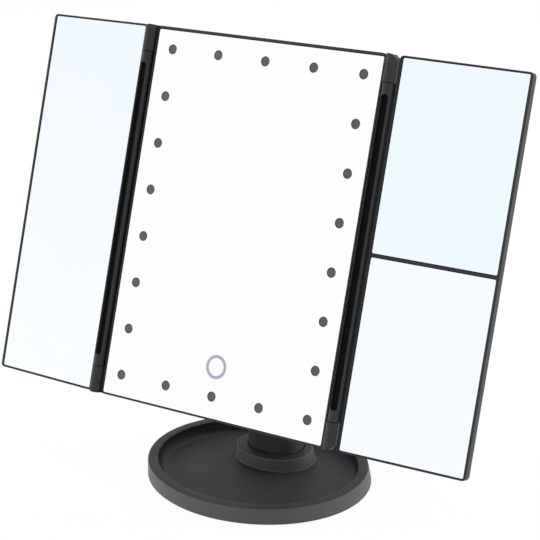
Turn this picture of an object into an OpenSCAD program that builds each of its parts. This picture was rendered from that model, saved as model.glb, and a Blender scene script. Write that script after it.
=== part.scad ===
// Trifold table mirror: a lighted centre mirror that tilts on a neck above an oval tray base,
// and two mirror wings that fold over it. Millimetres, +Z up, the viewer stands on the -Y side.
// The origin is the middle of the base, on the table.

/* [Centre mirror] */
// Width of the centre glass
mirror_w = 161; // [140:1:190]
// Height of the centre glass
mirror_h = 227; // [200:1:270]
// Thickness of every mirror glass
glass_t = 2; // [1.5:0.1:3]
// Frame lip beside the centre glass
side_lip = 1.4; // [1.2:0.1:2.5]
// Frame lip above the centre glass
top_lip = 2; // [1.4:0.1:3]
// Frame lip below the centre glass
bottom_lip = 1.2; // [1:0.1:3]
// Dark gap round every glass
glass_gap = 0.45; // [0.2:0.05:0.7]
// How far the centre frame's lip stands in front of its glass
lip_proud = 0.5; // [0.2:0.1:0.9]
// Radius of the frames' outer corners
corner_r = 2.5; // [1.5:0.1:4]
// Radius along the back edges of the rear housing
edge_r = 3; // [1:0.5:4]
// Wall of the rear housing
shell_t = 1.8; // [1.4:0.1:2.4]

/* [Lights] */
// Number of lights across the top and bottom rows
led_columns = 5; // [3:1:7]
// Number of lights up each side, corners included
led_rows = 8; // [4:1:10]
// Diameter of one round light window
window_d = 6.1; // [4:0.1:7]
// From the glass's side edge to the outer lights' centres
led_inset_x = 11.7; // [11:0.1:16]
// From the glass's top or bottom edge to the outer lights' centres
led_inset_z = 12.2; // [11:0.1:16]
// How far the grid of lights sits above the middle of the glass
led_rise = 0.7; // [0:0.1:1]
// Outer diameter of the touch control's ring
touch_d = 14.6; // [10:0.1:18]
// Width of the touch control's ring
touch_ring_w = 1.9; // [1:0.1:3]
// Height of the touch control's centre above the glass's lower edge
touch_rise = 30.9; // [28:0.1:45]

/* [Hinges] */
// Radius of the end knuckles
knuckle_r = 3.6; // [3.4:0.1:4.5]
// Radius of the wings' long spines
spine_r = 3.2; // [2.9:0.1:3.4]
// Gap between the centre frame's side and the knuckles
spine_gap = 1.1; // [0.8:0.1:2]
// How far the hinge axes lie in front of the centre glass
hinge_ahead = 1; // [0.8:0.1:1.6]
// Length of an end knuckle with its cap
knuckle_len = 16.3; // [14:0.1:22]
// Length of the cap on an end knuckle
cap_len = 5.9; // [4:0.1:8]
// Gap between an end knuckle and the spine
split_gap = 0.4; // [0.2:0.1:0.6]
// Radius of the hinge pins
pin_r = 1.25; // [1:0.05:1.6]
// Width of the long slot in each spine
slot_w = 4.6; // [3:0.1:4.9]
// Depth of the long slot in each spine
slot_depth = 3.9; // [3.4:0.1:4.2]
// How deep the black strip in the slot lies
strip_depth = 2.8; // [1.5:0.1:3]
// Solid length between a spine's end and its slot
slot_margin = 6.6; // [6.2:0.1:12]

/* [Wings] */
// Frame lip above and below the wing glasses
wing_lip = 1.3; // [1.1:0.1:2.5]
// Frame lip beside the wing glasses, at the wing's free edge
wing_outer_lip = 1.8; // [1.1:0.1:2.5]
// Frame lip beside the spine
wing_inner_lip = 2.2; // [1.8:0.1:4]
// Depth of a wing from its lip to its back
wing_d = 6.6; // [6.4:0.1:10]
// How far a wing's lip stands in front of its glass
wing_proud = 0.5; // [0.2:0.1:0.9]
// Distance between the right wing's two glasses
bar_w = 2.5; // [2.2:0.1:5]
// Space left between the two folded wings
fold_gap = 2; // [1.6:0.1:6]
// Angle by which the open wings lean back past flat
wing_back_angle = 5.5; // [0:0.5:12]

/* [Stand] */
// Angle by which the mirror leans back from upright
tilt = 24.4; // [0:0.1:60]
// Height of the tilt axis above the table
pivot_z = 126.6; // [120:0.1:150]
// Distance of the tilt axis behind the middle of the base
pivot_y = 14.8; // [12:0.1:18]
// How far the tilt axis lies below the middle of the centre panel
pivot_below = 30.4; // [20:0.1:36]
// Radius of the neck's top barrel and the bracket's ears
barrel_r = 7; // [6:0.1:9]
// Length of the neck's top barrel
barrel_len = 30; // [26:1:36]
// Radius of the tilt shaft
shaft_r = 2; // [1.5:0.1:2.5]
// Half width of the neck at its foot
foot_hw = 18.5; // [17:0.1:20]
// Half depth of the neck at its foot
foot_hd = 10.5; // [9:0.1:12]
// Distance of the neck's foot behind the middle of the base
foot_y = 21.5; // [20:0.1:23]
// Half depth of the neck under its barrel
top_hd = 6.4; // [5.4:0.1:6.8]
// Wall of the neck's shells
neck_wall = 2.2; // [1.8:0.1:3]

/* [Base] */
// Half length of the base along X at the table
base_a = 75.5; // [70:0.5:90]
// Half length of the base along Y at the table
base_b = 57.8; // [54:0.2:70]
// Height of the base's rim
base_h = 10.8; // [9.6:0.1:16]
// Inward lean of the base's side wall
base_draft = 1; // [0.4:0.1:2]
// Width of the flat rim
rim_w = 6.6; // [5:0.1:10]
// Radius along the outer edge of the rim
rim_r = 0.9; // [0.4:0.1:1.5]
// Width of the hollow round between rim and floor
dish_w = 6; // [3:0.1:9]
// Thickness of the tray's floor
floor_t = 1.2; // [1:0.1:2]
// Wall of the tray's skirt
skirt_t = 2.2; // [1.6:0.1:3]
// Thickness of the bottom cover
cover_t = 1.2; // [1.2:0.1:1.6]
// Thickness of the non-slip pad
pad_t = 0.9; // [0.6:0.1:1.2]
// Height of the socket boss above the table
boss_top = 11.7; // [11:0.1:14]
// Half length of the socket boss along X
boss_a = 26; // [24:0.1:30]
// Half length of the socket boss along Y
boss_b = 17.5; // [15.5:0.1:19]
// Gap round the neck's foot in the boss
foot_gap = 0.6; // [0.2:0.1:0.8]

/* [Hidden] */
$fn = 48;

// clearances
seat_gap = 0.1;      // pieces of one body that lie side by side
press_gap = 0.02;    // radial, pins and screws that are held fast
run_gap = 0.05;      // radial, shafts that turn
part_gap = 0.3;      // pieces that move past each other
cap_seam = 0.15;     // the line under each knuckle's cap
cut = 1;             // how far a cutting solid passes the face that it opens

// colours
dark = "#3f4143";
darker = "#2b2c2e";
silver = "#dfe6ea";
steel = "#b4b7ba";

// centre panel: y = 0 at the glass's face and grows towards the back, z = 0 at its middle
glass_r = 0.8;
frame_w = mirror_w + 2 * side_lip;
frame_h = mirror_h + top_lip + bottom_lip;
glass_z = (bottom_lip - top_lip) / 2;
carrier_t = 1.5;
carrier_back = glass_t + carrier_t;
ledge_w = 4;
ledge_t = 1.6;
ledge_y = carrier_back + seat_gap;
seam_y = ledge_y + ledge_t + 0.8;

// batteries: four small round cells, lying side by side
cell_d = 10.5;
cell_l = 44.5;
cell_nub = 1;
cell_pitch = cell_d + 0.7;
cell_count = 4;
contact = [0.4, 8];
bay_wall = 2;
bay_w = cell_l + 7.5;
bay_h = cell_count * cell_pitch + 0.8;
bay_z = 40;
bay_y = carrier_back + 1;
cell_y = bay_y + shell_t + 0.2 + cell_d / 2;
door_t = 1.6;
door_y = cell_y + cell_d / 2 + 0.6;
door_seat = 1;
door_w = bay_w + 2 * (door_seat - part_gap);
door_h = bay_h + 2 * (door_seat - part_gap);
panel_d = door_y + door_t;
wall_y = panel_d - shell_t;

// lights
led_x = mirror_w / 2 - led_inset_x;
led_z = mirror_h / 2 - led_inset_z;
led_mid = led_rise + glass_z;
led_dx = 2 * led_x / (led_columns - 1);
led_dz = 2 * led_z / (led_rows - 1);
led_spots = concat(
    [for (i = [0:led_columns - 1], s = [-1, 1]) [i * led_dx - led_x, led_mid + s * led_z]],
    [for (i = [1:led_rows - 2], s = [-1, 1]) [s * led_x, led_mid + i * led_dz - led_z]]
);
led_size = [3.5, 1.9, 2.8];
led_board_t = 1;
led_board_margin = 5;
led_board_y = carrier_back + led_size[1] + 0.2;
touch_z = glass_z + touch_rise - mirror_h / 2;
touch_depth = 0.8;
sensor_r = touch_d / 2 + 1.7;

// screws: [shank radius, shank length, head radius, head height]
case_screw = [1.2, 10, 2.3, 1.6];
plate_screw = [1.2, 6.4, 2.3, 1.4];
board_screw = [0.9, 4, 1.8, 1.2];
neck_screw = [1.2, 8, 2.3, 1.6];
foot_screw = [1.5, 9, 2.8, 1.7];
cover_screw = [1.1, 6.4, 2.2, 1.1];
post_r = 2.8;
post_x = mirror_w / 2 - 3.5;
post_z = [-0.46 * mirror_h, -0.155 * mirror_h, 0.155 * mirror_h, 0.46 * mirror_h];
post_y = seam_y + 3;
post_head_y = post_y + 6.4;

// hinges and wings: a wing's own frame has its origin on the hinge axis
hinge_x = frame_w / 2 + spine_gap + knuckle_r;
split_z = frame_h / 2 - knuckle_len;
spine_z = split_z - split_gap;
cap_z = frame_h / 2 - cap_len;
cap_round = 4.5;
cap_plug = 1.2;
web_front = 0.9;
rail_y = knuckle_r - hinge_ahead + part_gap + 0.1;
rail_t = 1.2;
wing_web_y = 1.7;
slot_l = 2 * (spine_z - slot_margin);
pin_depth = 5.6;
wing_lip_y = hinge_ahead;
wing_glass_y = wing_lip_y + wing_proud;
wing_x0 = knuckle_r + 0.6;
wing_x1 = hinge_x - fold_gap / 2;
wing_glass_x0 = wing_x0 + wing_inner_lip;
wing_glass_x1 = wing_x1 - wing_outer_lip;
wing_glass_w = wing_glass_x1 - wing_glass_x0;
wing_glass_h = frame_h - 2 * wing_lip;
wing_back_t = 1.4;
wing_seam_y = wing_lip_y + wing_d - wing_back_t;
wing_ledge_w = 3;
wing_ledge_t = 1;
half_glass_h = (wing_glass_h - bar_w) / 2;

// tilt joint
pivot_out = barrel_r + 1;
mirror_ahead = panel_d + pivot_out;
washer_t = 0.8;
ear_in = barrel_len / 2 + washer_t + 2 * run_gap;
ear_t = 5;
ear_out = ear_in + ear_t;
bracket_t = 2.2;
bracket_w = 2 * (ear_out + 8.4);
bracket_h = 28;
bracket_y = panel_d - bracket_t;
bracket_screw_x = ear_out + 4.2;
bracket_screw_z = bracket_h / 2 - 4.6;
shaft_head_r = 3.6;
shaft_head_t = 2.2;
nut_t = 3.2;
nut_r = 2 * shaft_r;
cap_wall = 1;
shaft_cap_r = barrel_r - 1;
shaft_cap_len = nut_t + 1.6;

// control board, on the back wall's standoffs
board_w = 46;
board_h = 24;
board_t = 1.2;
board_x = mirror_w / 2 - board_w / 2 - 13.5;
board_z = -mirror_h / 2 + 17.5;
board_y = wall_y - 4.8;
usb_x = board_x + 11;
usb_size = [7.6, panel_d - board_y - 0.2, 2.8];
switch_x = board_x - 10;
switch_size = [12, 4.2, 6];
knob_size = [5.6, 3.4];
knob_stem = [3, 2];
knob_travel = 3;
knob_proud = 0.8;

// base
pad_z = pad_t;
cover_z = pad_z + cover_t;
floor_z = cover_z + seat_gap + floor_t;
skirt_z = pad_z / 2;
top_a = base_a - base_draft;
top_b = base_b - base_draft;
dish_a = top_a - rim_w;
dish_b = top_b - rim_w;
cover_a = base_a - skirt_t - base_draft / 2;
cover_b = base_b - skirt_t - base_draft / 2;
cover_screws = 6;
boss_y = 20;
boss_power = 2.2;
foot_power = 2.8;
socket_z = floor_z + 2;
foot_z = socket_z + seat_gap;
foot_screw_x = 9;
neck_top_z = pivot_z - 2;
neck_hollow_z0 = foot_z + 4;
neck_hollow_z1 = pivot_z - barrel_r - 3;
neck_top_hw = barrel_len / 2 - 0.5;
neck_split = 2.5;
neck_lean = atan((foot_y - pivot_y) / (neck_top_z - foot_z));
back_z0 = boss_top + 1.5;
back_z1 = pivot_z - barrel_r - 5;
neck_screw_z = [for (t = [0.15, 0.5, 0.85]) back_z0 + t * (back_z1 - back_z0)];

// ---- helpers

// an oval of n points: power 2 is an ellipse, more is squarer
function oval(a, b, power = 2, n = 48) = [
    for (i = [0:n - 1]) let (c = cos(360 * i / n), s = sin(360 * i / n))
        [a * sign(c) * pow(abs(c), 2 / power), b * sign(s) * pow(abs(s), 2 / power)]
];

// a rounded rectangle as points, with steps points on each corner
function round_rect(w, h, r, steps = 6) = [
    for (q = [0:3], i = [0:steps])
        let (t = 90 * (q + i / steps), sx = (q == 0 || q == 3) ? 1 : -1, sz = q < 2 ? 1 : -1)
            [sx * (w / 2 - r) + r * cos(t), sz * (h / 2 - r) + r * sin(t)]
];

function ring_at_z(points, z, y = 0) = [for (p = points) [p[0], p[1] + y, z]];
function ring_at_y(points, y) = [for (p = points) [p[0], y, -p[1]]];

// a closed skin over a row of rings that have the same number of points
module loft(rings) {
    n = len(rings[0]);
    last = (len(rings) - 1) * n;
    sides = [
        for (k = [0:len(rings) - 2], i = [0:n - 1]) let (a = k * n + i, b = k * n + (i + 1) % n)
            each [[a, a + n, b], [b, a + n, b + n]]
    ];
    polyhedron(
        points = [for (ring = rings) each ring],
        faces = concat([[for (i = [0:n - 1]) i]], sides, [[for (i = [n - 1:-1:0]) last + i]]),
        convexity = 4
    );
}

module along_y(y0, y1) {
    translate([0, y1, 0]) rotate([90, 0, 0]) linear_extrude(y1 - y0) children();
}

module rod_y(r, y0, y1) {
    translate([0, y0, 0]) rotate([-90, 0, 0]) cylinder(r = r, h = y1 - y0);
}

module rod_x(r, x0, x1) {
    translate([x0, 0, 0]) rotate([0, 90, 0]) cylinder(r = r, h = x1 - x0);
}

module rounded(w, h, r) {
    square([w - 2 * r, h], center = true);
    square([w, h - 2 * r], center = true);
    for (sx = [-1, 1], sz = [-1, 1])
        translate([sx * (w / 2 - r), sz * (h / 2 - r)]) circle(r);
}

// a pan-head screw: its head's seat is at z = 0 and the shank points down
module screw(size) {
    cross = size[2] * 1.2;
    difference() {
        union() {
            translate([0, 0, -size[1]]) cylinder(r = size[0], h = size[1] + 0.1);
            cylinder(r = size[2], h = size[3]);
        }
        for (a = [0, 90])
            rotate(a) translate([-cross / 2, -0.25, size[3] - 0.7]) cube([cross, 0.5, cut]);
    }
}

// a screw driven in from the back: the seat's place, head towards +Y
module screw_from_back(size, x, y, z) {
    translate([x, y, z]) rotate([-90, 0, 0]) screw(size);
}

// the centre panel's frame, leaning back about the tilt axis
module in_head() {
    translate([0, pivot_y, pivot_z]) rotate([-tilt, 0, 0])
        translate([0, -mirror_ahead, pivot_below]) children();
}

// the tilt axis in the panel's frame
module at_pivot() {
    translate([0, mirror_ahead, -pivot_below]) children();
}

// a wing's frame: side 1 is the right wing, side -1 its mirror image
module in_wing(side) {
    in_head() scale_side(side) translate([hinge_x, -hinge_ahead, 0])
        rotate([0, 0, wing_back_angle]) children();
}

module scale_side(side) {
    if (side < 0) mirror([1, 0, 0]) children();
    else children();
}

// ---- base and neck

// the tray's hollow, grown outwards and lowered for its own underside
module dish(grow, drop, top) {
    depth = base_h - floor_z;
    steps = 6;
    rings = [
        for (i = [0:steps]) let (t = 90 * i / steps, inset = dish_w * (1 - sin(t)) - grow)
            ring_at_z(oval(dish_a - inset, dish_b - inset, n = 96), floor_z - drop + depth * (1 - cos(t)))
    ];
    loft(concat(rings, [ring_at_z(oval(dish_a + grow, dish_b + grow, n = 96), top)]));
}

module boss_block(inset, z0, z1) {
    round_h = 1;
    steps = 4;
    rings = [
        for (i = [0:steps]) let (t = 90 * i / steps, in = inset + round_h * (1 - cos(t)))
            ring_at_z(oval(boss_a - in, boss_b - in, boss_power), z1 - round_h + round_h * sin(t), boss_y)
    ];
    out = base_draft - inset;
    loft(concat([ring_at_z(oval(boss_a + out, boss_b + out, boss_power), z0, boss_y)], rings));
}

module foot_outline(grow) {
    translate([0, foot_y]) polygon(oval(foot_hw + grow, foot_hd + grow, foot_power));
}

module cover_screw_places() {
    for (i = [0:cover_screws - 1]) {
        t = 360 * (i + 0.5) / cover_screws;
        translate([(cover_a - 4) * cos(t), (cover_b - 4) * sin(t), 0]) children();
    }
}

module base_tray() {
    steps = 4;
    edge = [
        for (i = [0:steps]) let (t = 90 * i / steps, inset = rim_r * (1 - cos(t)))
            ring_at_z(oval(top_a - inset, top_b - inset, n = 96), base_h - rim_r + rim_r * sin(t))
    ];
    skirt_foot = ring_at_z(oval(base_a, base_b, n = 96), skirt_z);
    color(dark) difference() {
        union() {
            difference() {
                loft(concat([skirt_foot], edge));
                dish(0, 0, base_h + cut);
                difference() {
                    translate([0, 0, -cut]) linear_extrude(base_h - skirt_t + cut)
                        polygon(oval(cover_a + seat_gap, cover_b + seat_gap, n = 96));
                    translate([0, 0, cover_z + seat_gap]) linear_extrude(floor_t)
                        polygon(oval(dish_a - dish_w + skirt_t, dish_b - dish_w + skirt_t, n = 96));
                    dish(skirt_t, floor_t, base_h + cut);
                    cover_screw_places() translate([0, 0, cover_z])
                        cylinder(r = post_r, h = base_h - cover_z);
                }
            }
            boss_block(0, floor_z - floor_t, boss_top);
        }
        translate([0, 0, socket_z]) linear_extrude(boss_top) foot_outline(foot_gap);
        for (s = [-1, 1]) translate([s * foot_screw_x, foot_y, 0]) {
            cylinder(r = foot_screw[0] + seat_gap, h = socket_z + cut);
            cylinder(r = foot_screw[2] + seat_gap, h = cover_z + seat_gap + foot_screw[3]);
        }
        cover_screw_places() cylinder(r = cover_screw[0] + press_gap, h = base_h - skirt_t - 1);
    }
}

module base_cover() {
    color(darker) difference() {
        translate([0, 0, pad_z]) linear_extrude(cover_t) polygon(oval(cover_a, cover_b, n = 96));
        cover_screw_places() translate([0, 0, pad_z]) {
            cylinder(r1 = cover_screw[2] + seat_gap, r2 = cover_screw[0] + seat_gap, h = cover_screw[3]);
            cylinder(r = cover_screw[0] + seat_gap, h = cover_t + cut);
        }
    }
}

module base_screws() {
    color(steel) cover_screw_places() translate([0, 0, pad_z + 0.05]) {
        cylinder(r1 = cover_screw[2], r2 = cover_screw[0], h = cover_screw[3]);
        cylinder(r = cover_screw[0], h = cover_screw[1]);
    }
}

module rubber_pad() {
    color("#1b1b1b") linear_extrude(pad_t) polygon(oval(cover_a - 1, cover_b - 1, n = 96));
}

module foot_screws() {
    color(steel) for (s = [-1, 1])
        translate([s * foot_screw_x, foot_y, cover_z + seat_gap + foot_screw[3]]) rotate([180, 0, 0])
            screw(foot_screw);
}

// the neck's outline at a height, drawn in by inset
function neck_ring(z, inset) =
    let (t = max(0, min(1, (z - boss_top) / (neck_top_z - boss_top))))
    ring_at_z(
        oval(foot_hw + (neck_top_hw - foot_hw) * sin(90 * t) - inset,
            foot_hd + (top_hd - foot_hd) * sin(90 * t) - inset, foot_power, 40),
        z, foot_y + (pivot_y - foot_y) * (1 - cos(180 * t)) / 2);

module neck_body(inset, z0, z1) {
    steps = 9;
    loft(concat([neck_ring(z0, inset)],
        [for (i = [0:steps]) let (z = max(z0 + 0.5, boss_top) + i / steps * (z1 - max(z0 + 0.5, boss_top)))
            neck_ring(z, inset)]));
}

// everything behind the seam between the neck's shells
module behind_neck_seam(z0, z1) {
    intersection() {
        translate([0, foot_y + neck_split, foot_z]) rotate([neck_lean, 0, 0])
            translate([-foot_hw - 5, 0, -20]) cube([2 * foot_hw + 10, 4 * foot_hd, pivot_z + 40]);
        translate([-foot_hw - 5, -foot_hd, z0]) cube([2 * foot_hw + 10, foot_y + 5 * foot_hd, z1 - z0]);
    }
}

function seam_at(z) = foot_y + neck_split - (z - foot_z) * tan(neck_lean);

module neck_front() {
    color(dark) difference() {
        union() {
            difference() {
                neck_body(0, foot_z, neck_top_z);
                neck_body(neck_wall, neck_hollow_z0, neck_hollow_z1);
                behind_neck_seam(back_z0, back_z1);
            }
            intersection() {
                neck_body(neck_wall / 2, neck_hollow_z0 - 1, neck_hollow_z1 + 1);
                union() {
                    for (z = neck_screw_z) translate([0, 0, z])
                        rod_y(post_r, pivot_y - 2 * barrel_r, seam_at(z + post_r));
                    for (s = [-1, 1]) translate([s * foot_screw_x, foot_y, foot_z])
                        cylinder(r = foot_screw[2] + 0.6, h = foot_screw[1] + 2);
                }
            }
            translate([0, pivot_y, pivot_z]) rod_x(barrel_r, -barrel_len / 2, barrel_len / 2);
        }
        translate([0, pivot_y, pivot_z])
            rod_x(shaft_r + run_gap, -barrel_len / 2 - cut, barrel_len / 2 + cut);
        for (z = neck_screw_z) translate([0, 0, z])
            rod_y(neck_screw[0] + press_gap, seam_at(z) - neck_screw[1], seam_at(z) + cut);
        for (s = [-1, 1]) translate([s * foot_screw_x, foot_y, foot_z - cut])
            cylinder(r = foot_screw[0] + press_gap, h = foot_screw[1] + cut);
    }
}

module neck_back() {
    color(dark) difference() {
        union() {
            difference() {
                neck_body(0, foot_z, neck_top_z);
                neck_body(neck_wall, neck_hollow_z0, neck_hollow_z1);
            }
            intersection() {
                neck_body(neck_wall / 2, neck_hollow_z0 - 1, neck_hollow_z1 + 1);
                for (z = neck_screw_z) translate([0, 0, z])
                    rod_y(post_r + 1, seam_at(z) - post_r, foot_y + 2 * foot_hd);
            }
        }
        difference() {
            translate([-foot_hw - 10, -foot_hw, -cut])
                cube([2 * foot_hw + 20, foot_y + 6 * foot_hd, 2 * pivot_z]);
            behind_neck_seam(back_z0 + seat_gap, back_z1 - seat_gap);
        }
        for (z = neck_screw_z) translate([0, 0, z]) {
            rod_y(neck_screw[0] + seat_gap, 0, foot_y + 3 * foot_hd);
            rod_y(neck_screw[2] + seat_gap, seam_at(z) + 2, foot_y + 3 * foot_hd);
        }
    }
}

module neck_screws() {
    color(steel) for (z = neck_screw_z) screw_from_back(neck_screw, 0, seam_at(z) + 2, z);
}

// ---- centre panel

module post_places() {
    for (s = [-1, 1], z = post_z) translate([s * post_x, 0, z]) children();
}

// what joins the knuckles to the frame, and the rail behind the spine that hides the gap beside it
module hinge_side(side) {
    reach = hinge_x - frame_w / 2 + 0.5;
    scale_side(side) translate([frame_w / 2 - 0.5, 0, 0]) {
        for (s = [-1, 1]) translate([0, web_front, s > 0 ? split_z : -frame_h / 2])
            cube([reach, rail_y + rail_t - web_front, knuckle_len]);
        translate([0, rail_y, -frame_h / 2]) cube([reach, rail_t, frame_h]);
    }
}

module centre_frame() {
    opening = [mirror_w + 2 * glass_gap, mirror_h + 2 * glass_gap];
    color(dark) in_head() difference() {
        union() {
            difference() {
                along_y(-lip_proud, seam_y) rounded(frame_w, frame_h, corner_r);
                translate([0, 0, glass_z]) {
                    along_y(-lip_proud - cut, ledge_y) rounded(opening[0], opening[1], glass_r);
                    along_y(0, ledge_y + ledge_t)
                        rounded(opening[0] - 2 * ledge_w, opening[1] - 2 * ledge_w, glass_r);
                    along_y(ledge_y + ledge_t, seam_y + cut) rounded(mirror_w, mirror_h, glass_r);
                }
            }
            post_places() rod_y(post_r, ledge_y, post_y);
            for (side = [-1, 1]) hinge_side(side);
            for (sx = [-1, 1], sz = [-1, 1])
                translate([sx * hinge_x, -hinge_ahead, sz > 0 ? split_z : -cap_z])
                    cylinder(r = knuckle_r, h = cap_z - split_z);
        }
        for (sx = [-1, 1], sz = [-1, 1]) translate([sx * hinge_x, -hinge_ahead, 0]) {
            translate([0, 0, sz > 0 ? cap_z : -cap_z - cap_len - cut])
                cylinder(r = knuckle_r + seat_gap, h = cap_len + cut);
            translate([0, 0, sz > 0 ? split_z - cut : -cap_z - cut])
                cylinder(r = pin_r + press_gap, h = cap_z - split_z + 2 * cut);
        }
        post_places() rod_y(case_screw[0] + press_gap, post_head_y - case_screw[1], post_y + cut);
    }
}

module hinge_caps() {
    r = knuckle_r;
    cap_h = cap_len - cap_seam;
    color(dark) in_head() for (side = [-1, 1], end = [-1, 1])
        scale_side(side) translate([hinge_x, -hinge_ahead, 0]) mirror([0, 0, end < 0 ? 1 : 0])
            translate([0, 0, cap_z + cap_seam]) {
                intersection() {
                    cylinder(r = r, h = cap_h);
                    along_y(-r - cut, r + cut) {
                        translate([-r - cut, 0]) square([2 * r + cut - cap_round, cap_h]);
                        translate([-r - cut, 0]) square([2 * r + cut, cap_h - cap_round]);
                        translate([r - cap_round, cap_h - cap_round]) circle(cap_round);
                    }
                }
                translate([0, 0, -cap_plug]) cylinder(r = pin_r - 0.05, h = cap_plug + 0.1);
            }
}

module hinge_pins(side) {
    color(steel) in_head() for (end = [-1, 1])
        translate([side * hinge_x, -hinge_ahead, 0]) mirror([0, 0, end < 0 ? 1 : 0])
            translate([0, 0, spine_z - pin_depth])
                cylinder(r = pin_r, h = cap_z - cap_plug - seat_gap - spine_z + pin_depth);
}

module mirror_carrier() {
    color("#e8e8e6") in_head() difference() {
        union() {
            translate([0, 0, glass_z]) along_y(glass_t, carrier_back) rounded(mirror_w, mirror_h, glass_r);
            for (sx = [-1, 1], sz = [-1, 1]) {
                translate([sx * led_x, 0, led_mid + sz * led_dz]) rod_y(2, glass_t, led_board_y);
                translate([sx * led_dx / 2, 0, led_mid + sz * led_z]) rod_y(2, glass_t, led_board_y);
            }
        }
        for (p = led_spots) translate([p[0], 0, p[1]]) rod_y(window_d / 2, 0, carrier_back + cut);
        translate([0, 0, touch_z]) rod_y(sensor_r + seat_gap, 0, carrier_back + cut);
    }
}

module centre_mirror() {
    color(silver) in_head() difference() {
        translate([0, 0, glass_z]) along_y(0, glass_t) rounded(mirror_w, mirror_h, glass_r);
        for (p = led_spots) translate([p[0], 0, p[1]]) rod_y(window_d / 2, -cut, glass_t + cut);
        translate([0, 0, touch_z]) difference() {
            rod_y(touch_d / 2, -cut, touch_depth);
            rod_y(touch_d / 2 - touch_ring_w, -2 * cut, touch_depth + cut);
        }
    }
}

module led_lenses() {
    color("#8b8b90") in_head() for (p = led_spots)
        translate([p[0], 0, p[1]]) rod_y(window_d / 2 - press_gap, 0, carrier_back);
}

module touch_ring() {
    color("#b4b2cf") in_head() translate([0, 0, touch_z]) difference() {
        rod_y(touch_d / 2 - press_gap, 0, touch_depth);
        rod_y(touch_d / 2 - touch_ring_w + press_gap, -cut, touch_depth + cut);
    }
}

module touch_sensor() {
    color("#2f6b3f") in_head() translate([0, 0, touch_z]) rod_y(sensor_r, glass_t, carrier_back - seat_gap);
}

module led_board() {
    w = 2 * (led_x + led_board_margin);
    h = 2 * (led_z + led_board_margin);
    color("#e3e6df") in_head() translate([0, 0, led_mid]) difference() {
        along_y(led_board_y, led_board_y + led_board_t) rounded(w, h, glass_r);
        along_y(led_board_y - cut, led_board_y + led_board_t + cut)
            rounded(w - 4 * led_board_margin, h - 4 * led_board_margin, glass_r);
    }
}

module leds() {
    color("#f3e9a0") in_head() for (p = led_spots)
        translate([p[0], led_board_y - led_size[1], p[1]]) difference() {
            translate([-led_size[0] / 2, 0, -led_size[2] / 2]) cube(led_size);
            rod_y(led_size[2] * 0.42, -cut, 0.4);
        }
}

module bay_block(grow, y0, y1) {
    translate([-bay_w / 2 - grow, y0, bay_z - bay_h / 2 - grow])
        cube([bay_w + 2 * grow, y1 - y0, bay_h + 2 * grow]);
}

module bracket_screw_places() {
    for (sx = [-1, 1], sz = [-1, 1])
        translate([sx * bracket_screw_x, 0, sz * bracket_screw_z - pivot_below]) children();
}

module board_screw_places() {
    for (s = [-1, 1])
        translate([board_x + s * (board_w / 2 - 3), 0, board_z + s * (board_h / 2 - 3)]) children();
}

module housing_shell() {
    steps = 5;
    edge = [
        for (i = [0:steps]) let (t = 90 * i / steps, inset = edge_r * (1 - cos(t)))
            ring_at_y(round_rect(frame_w - 2 * inset, frame_h - 2 * inset, corner_r),
                panel_d - edge_r + edge_r * sin(t))
    ];
    difference() {
        loft(concat([ring_at_y(round_rect(frame_w, frame_h, corner_r), seam_y)], edge));
        along_y(seam_y - cut, wall_y) rounded(frame_w - 2 * shell_t, frame_h - 2 * shell_t, corner_r);
    }
}

module back_housing() {
    pad_y = bracket_y - shell_t;
    color(dark) in_head() difference() {
        union() {
            housing_shell();
            bay_block(bay_wall, bay_y, wall_y + cut / 2);
            post_places() rod_y(post_r, post_y + seat_gap, wall_y + cut / 2);
            translate([-bracket_w / 2 - shell_t, pad_y, -pivot_below - bracket_h / 2 - shell_t])
                cube([bracket_w + 2 * shell_t, panel_d - pad_y - cut / 2, bracket_h + 2 * shell_t]);
            bracket_screw_places() rod_y(post_r, pad_y - 4.4, pad_y + cut / 2);
            board_screw_places() rod_y(2.4, board_y, wall_y + cut / 2);
        }
        bay_block(0, bay_y + shell_t, panel_d + cut);
        bay_block(door_seat, door_y - seat_gap, panel_d + cut);
        door_axis() rod_x(0.7 + run_gap, -door_w / 2 - 1.2, door_w / 2 + 1.2);
        translate([0, 0, -pivot_below]) along_y(bracket_y, panel_d + cut)
            rounded(bracket_w + 2 * seat_gap, bracket_h + 2 * seat_gap, 2);
        post_places() {
            rod_y(case_screw[0] + seat_gap, post_y - cut, panel_d + cut);
            rod_y(case_screw[2] + seat_gap, post_head_y, panel_d + cut);
        }
        bracket_screw_places() rod_y(plate_screw[0] + press_gap, pad_y - 4, bracket_y + cut);
        board_screw_places()
            rod_y(board_screw[0] + press_gap, board_y - cut, board_y + board_screw[1] - board_t);
        translate([usb_x, 0, board_z]) along_y(wall_y - cut, panel_d + cut)
            rounded(usb_size[0] + 0.6, usb_size[2] + 0.6, 1);
        translate([switch_x + knob_travel / 2, 0, board_z]) along_y(wall_y - cut, panel_d + cut)
            rounded(knob_size[0] + knob_travel + 2 * part_gap, knob_size[1] + 2 * part_gap, 0.4);
    }
}

module housing_screws() {
    color(steel) in_head() for (s = [-1, 1], z = post_z)
        screw_from_back(case_screw, s * post_x, post_head_y, z);
}

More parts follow.
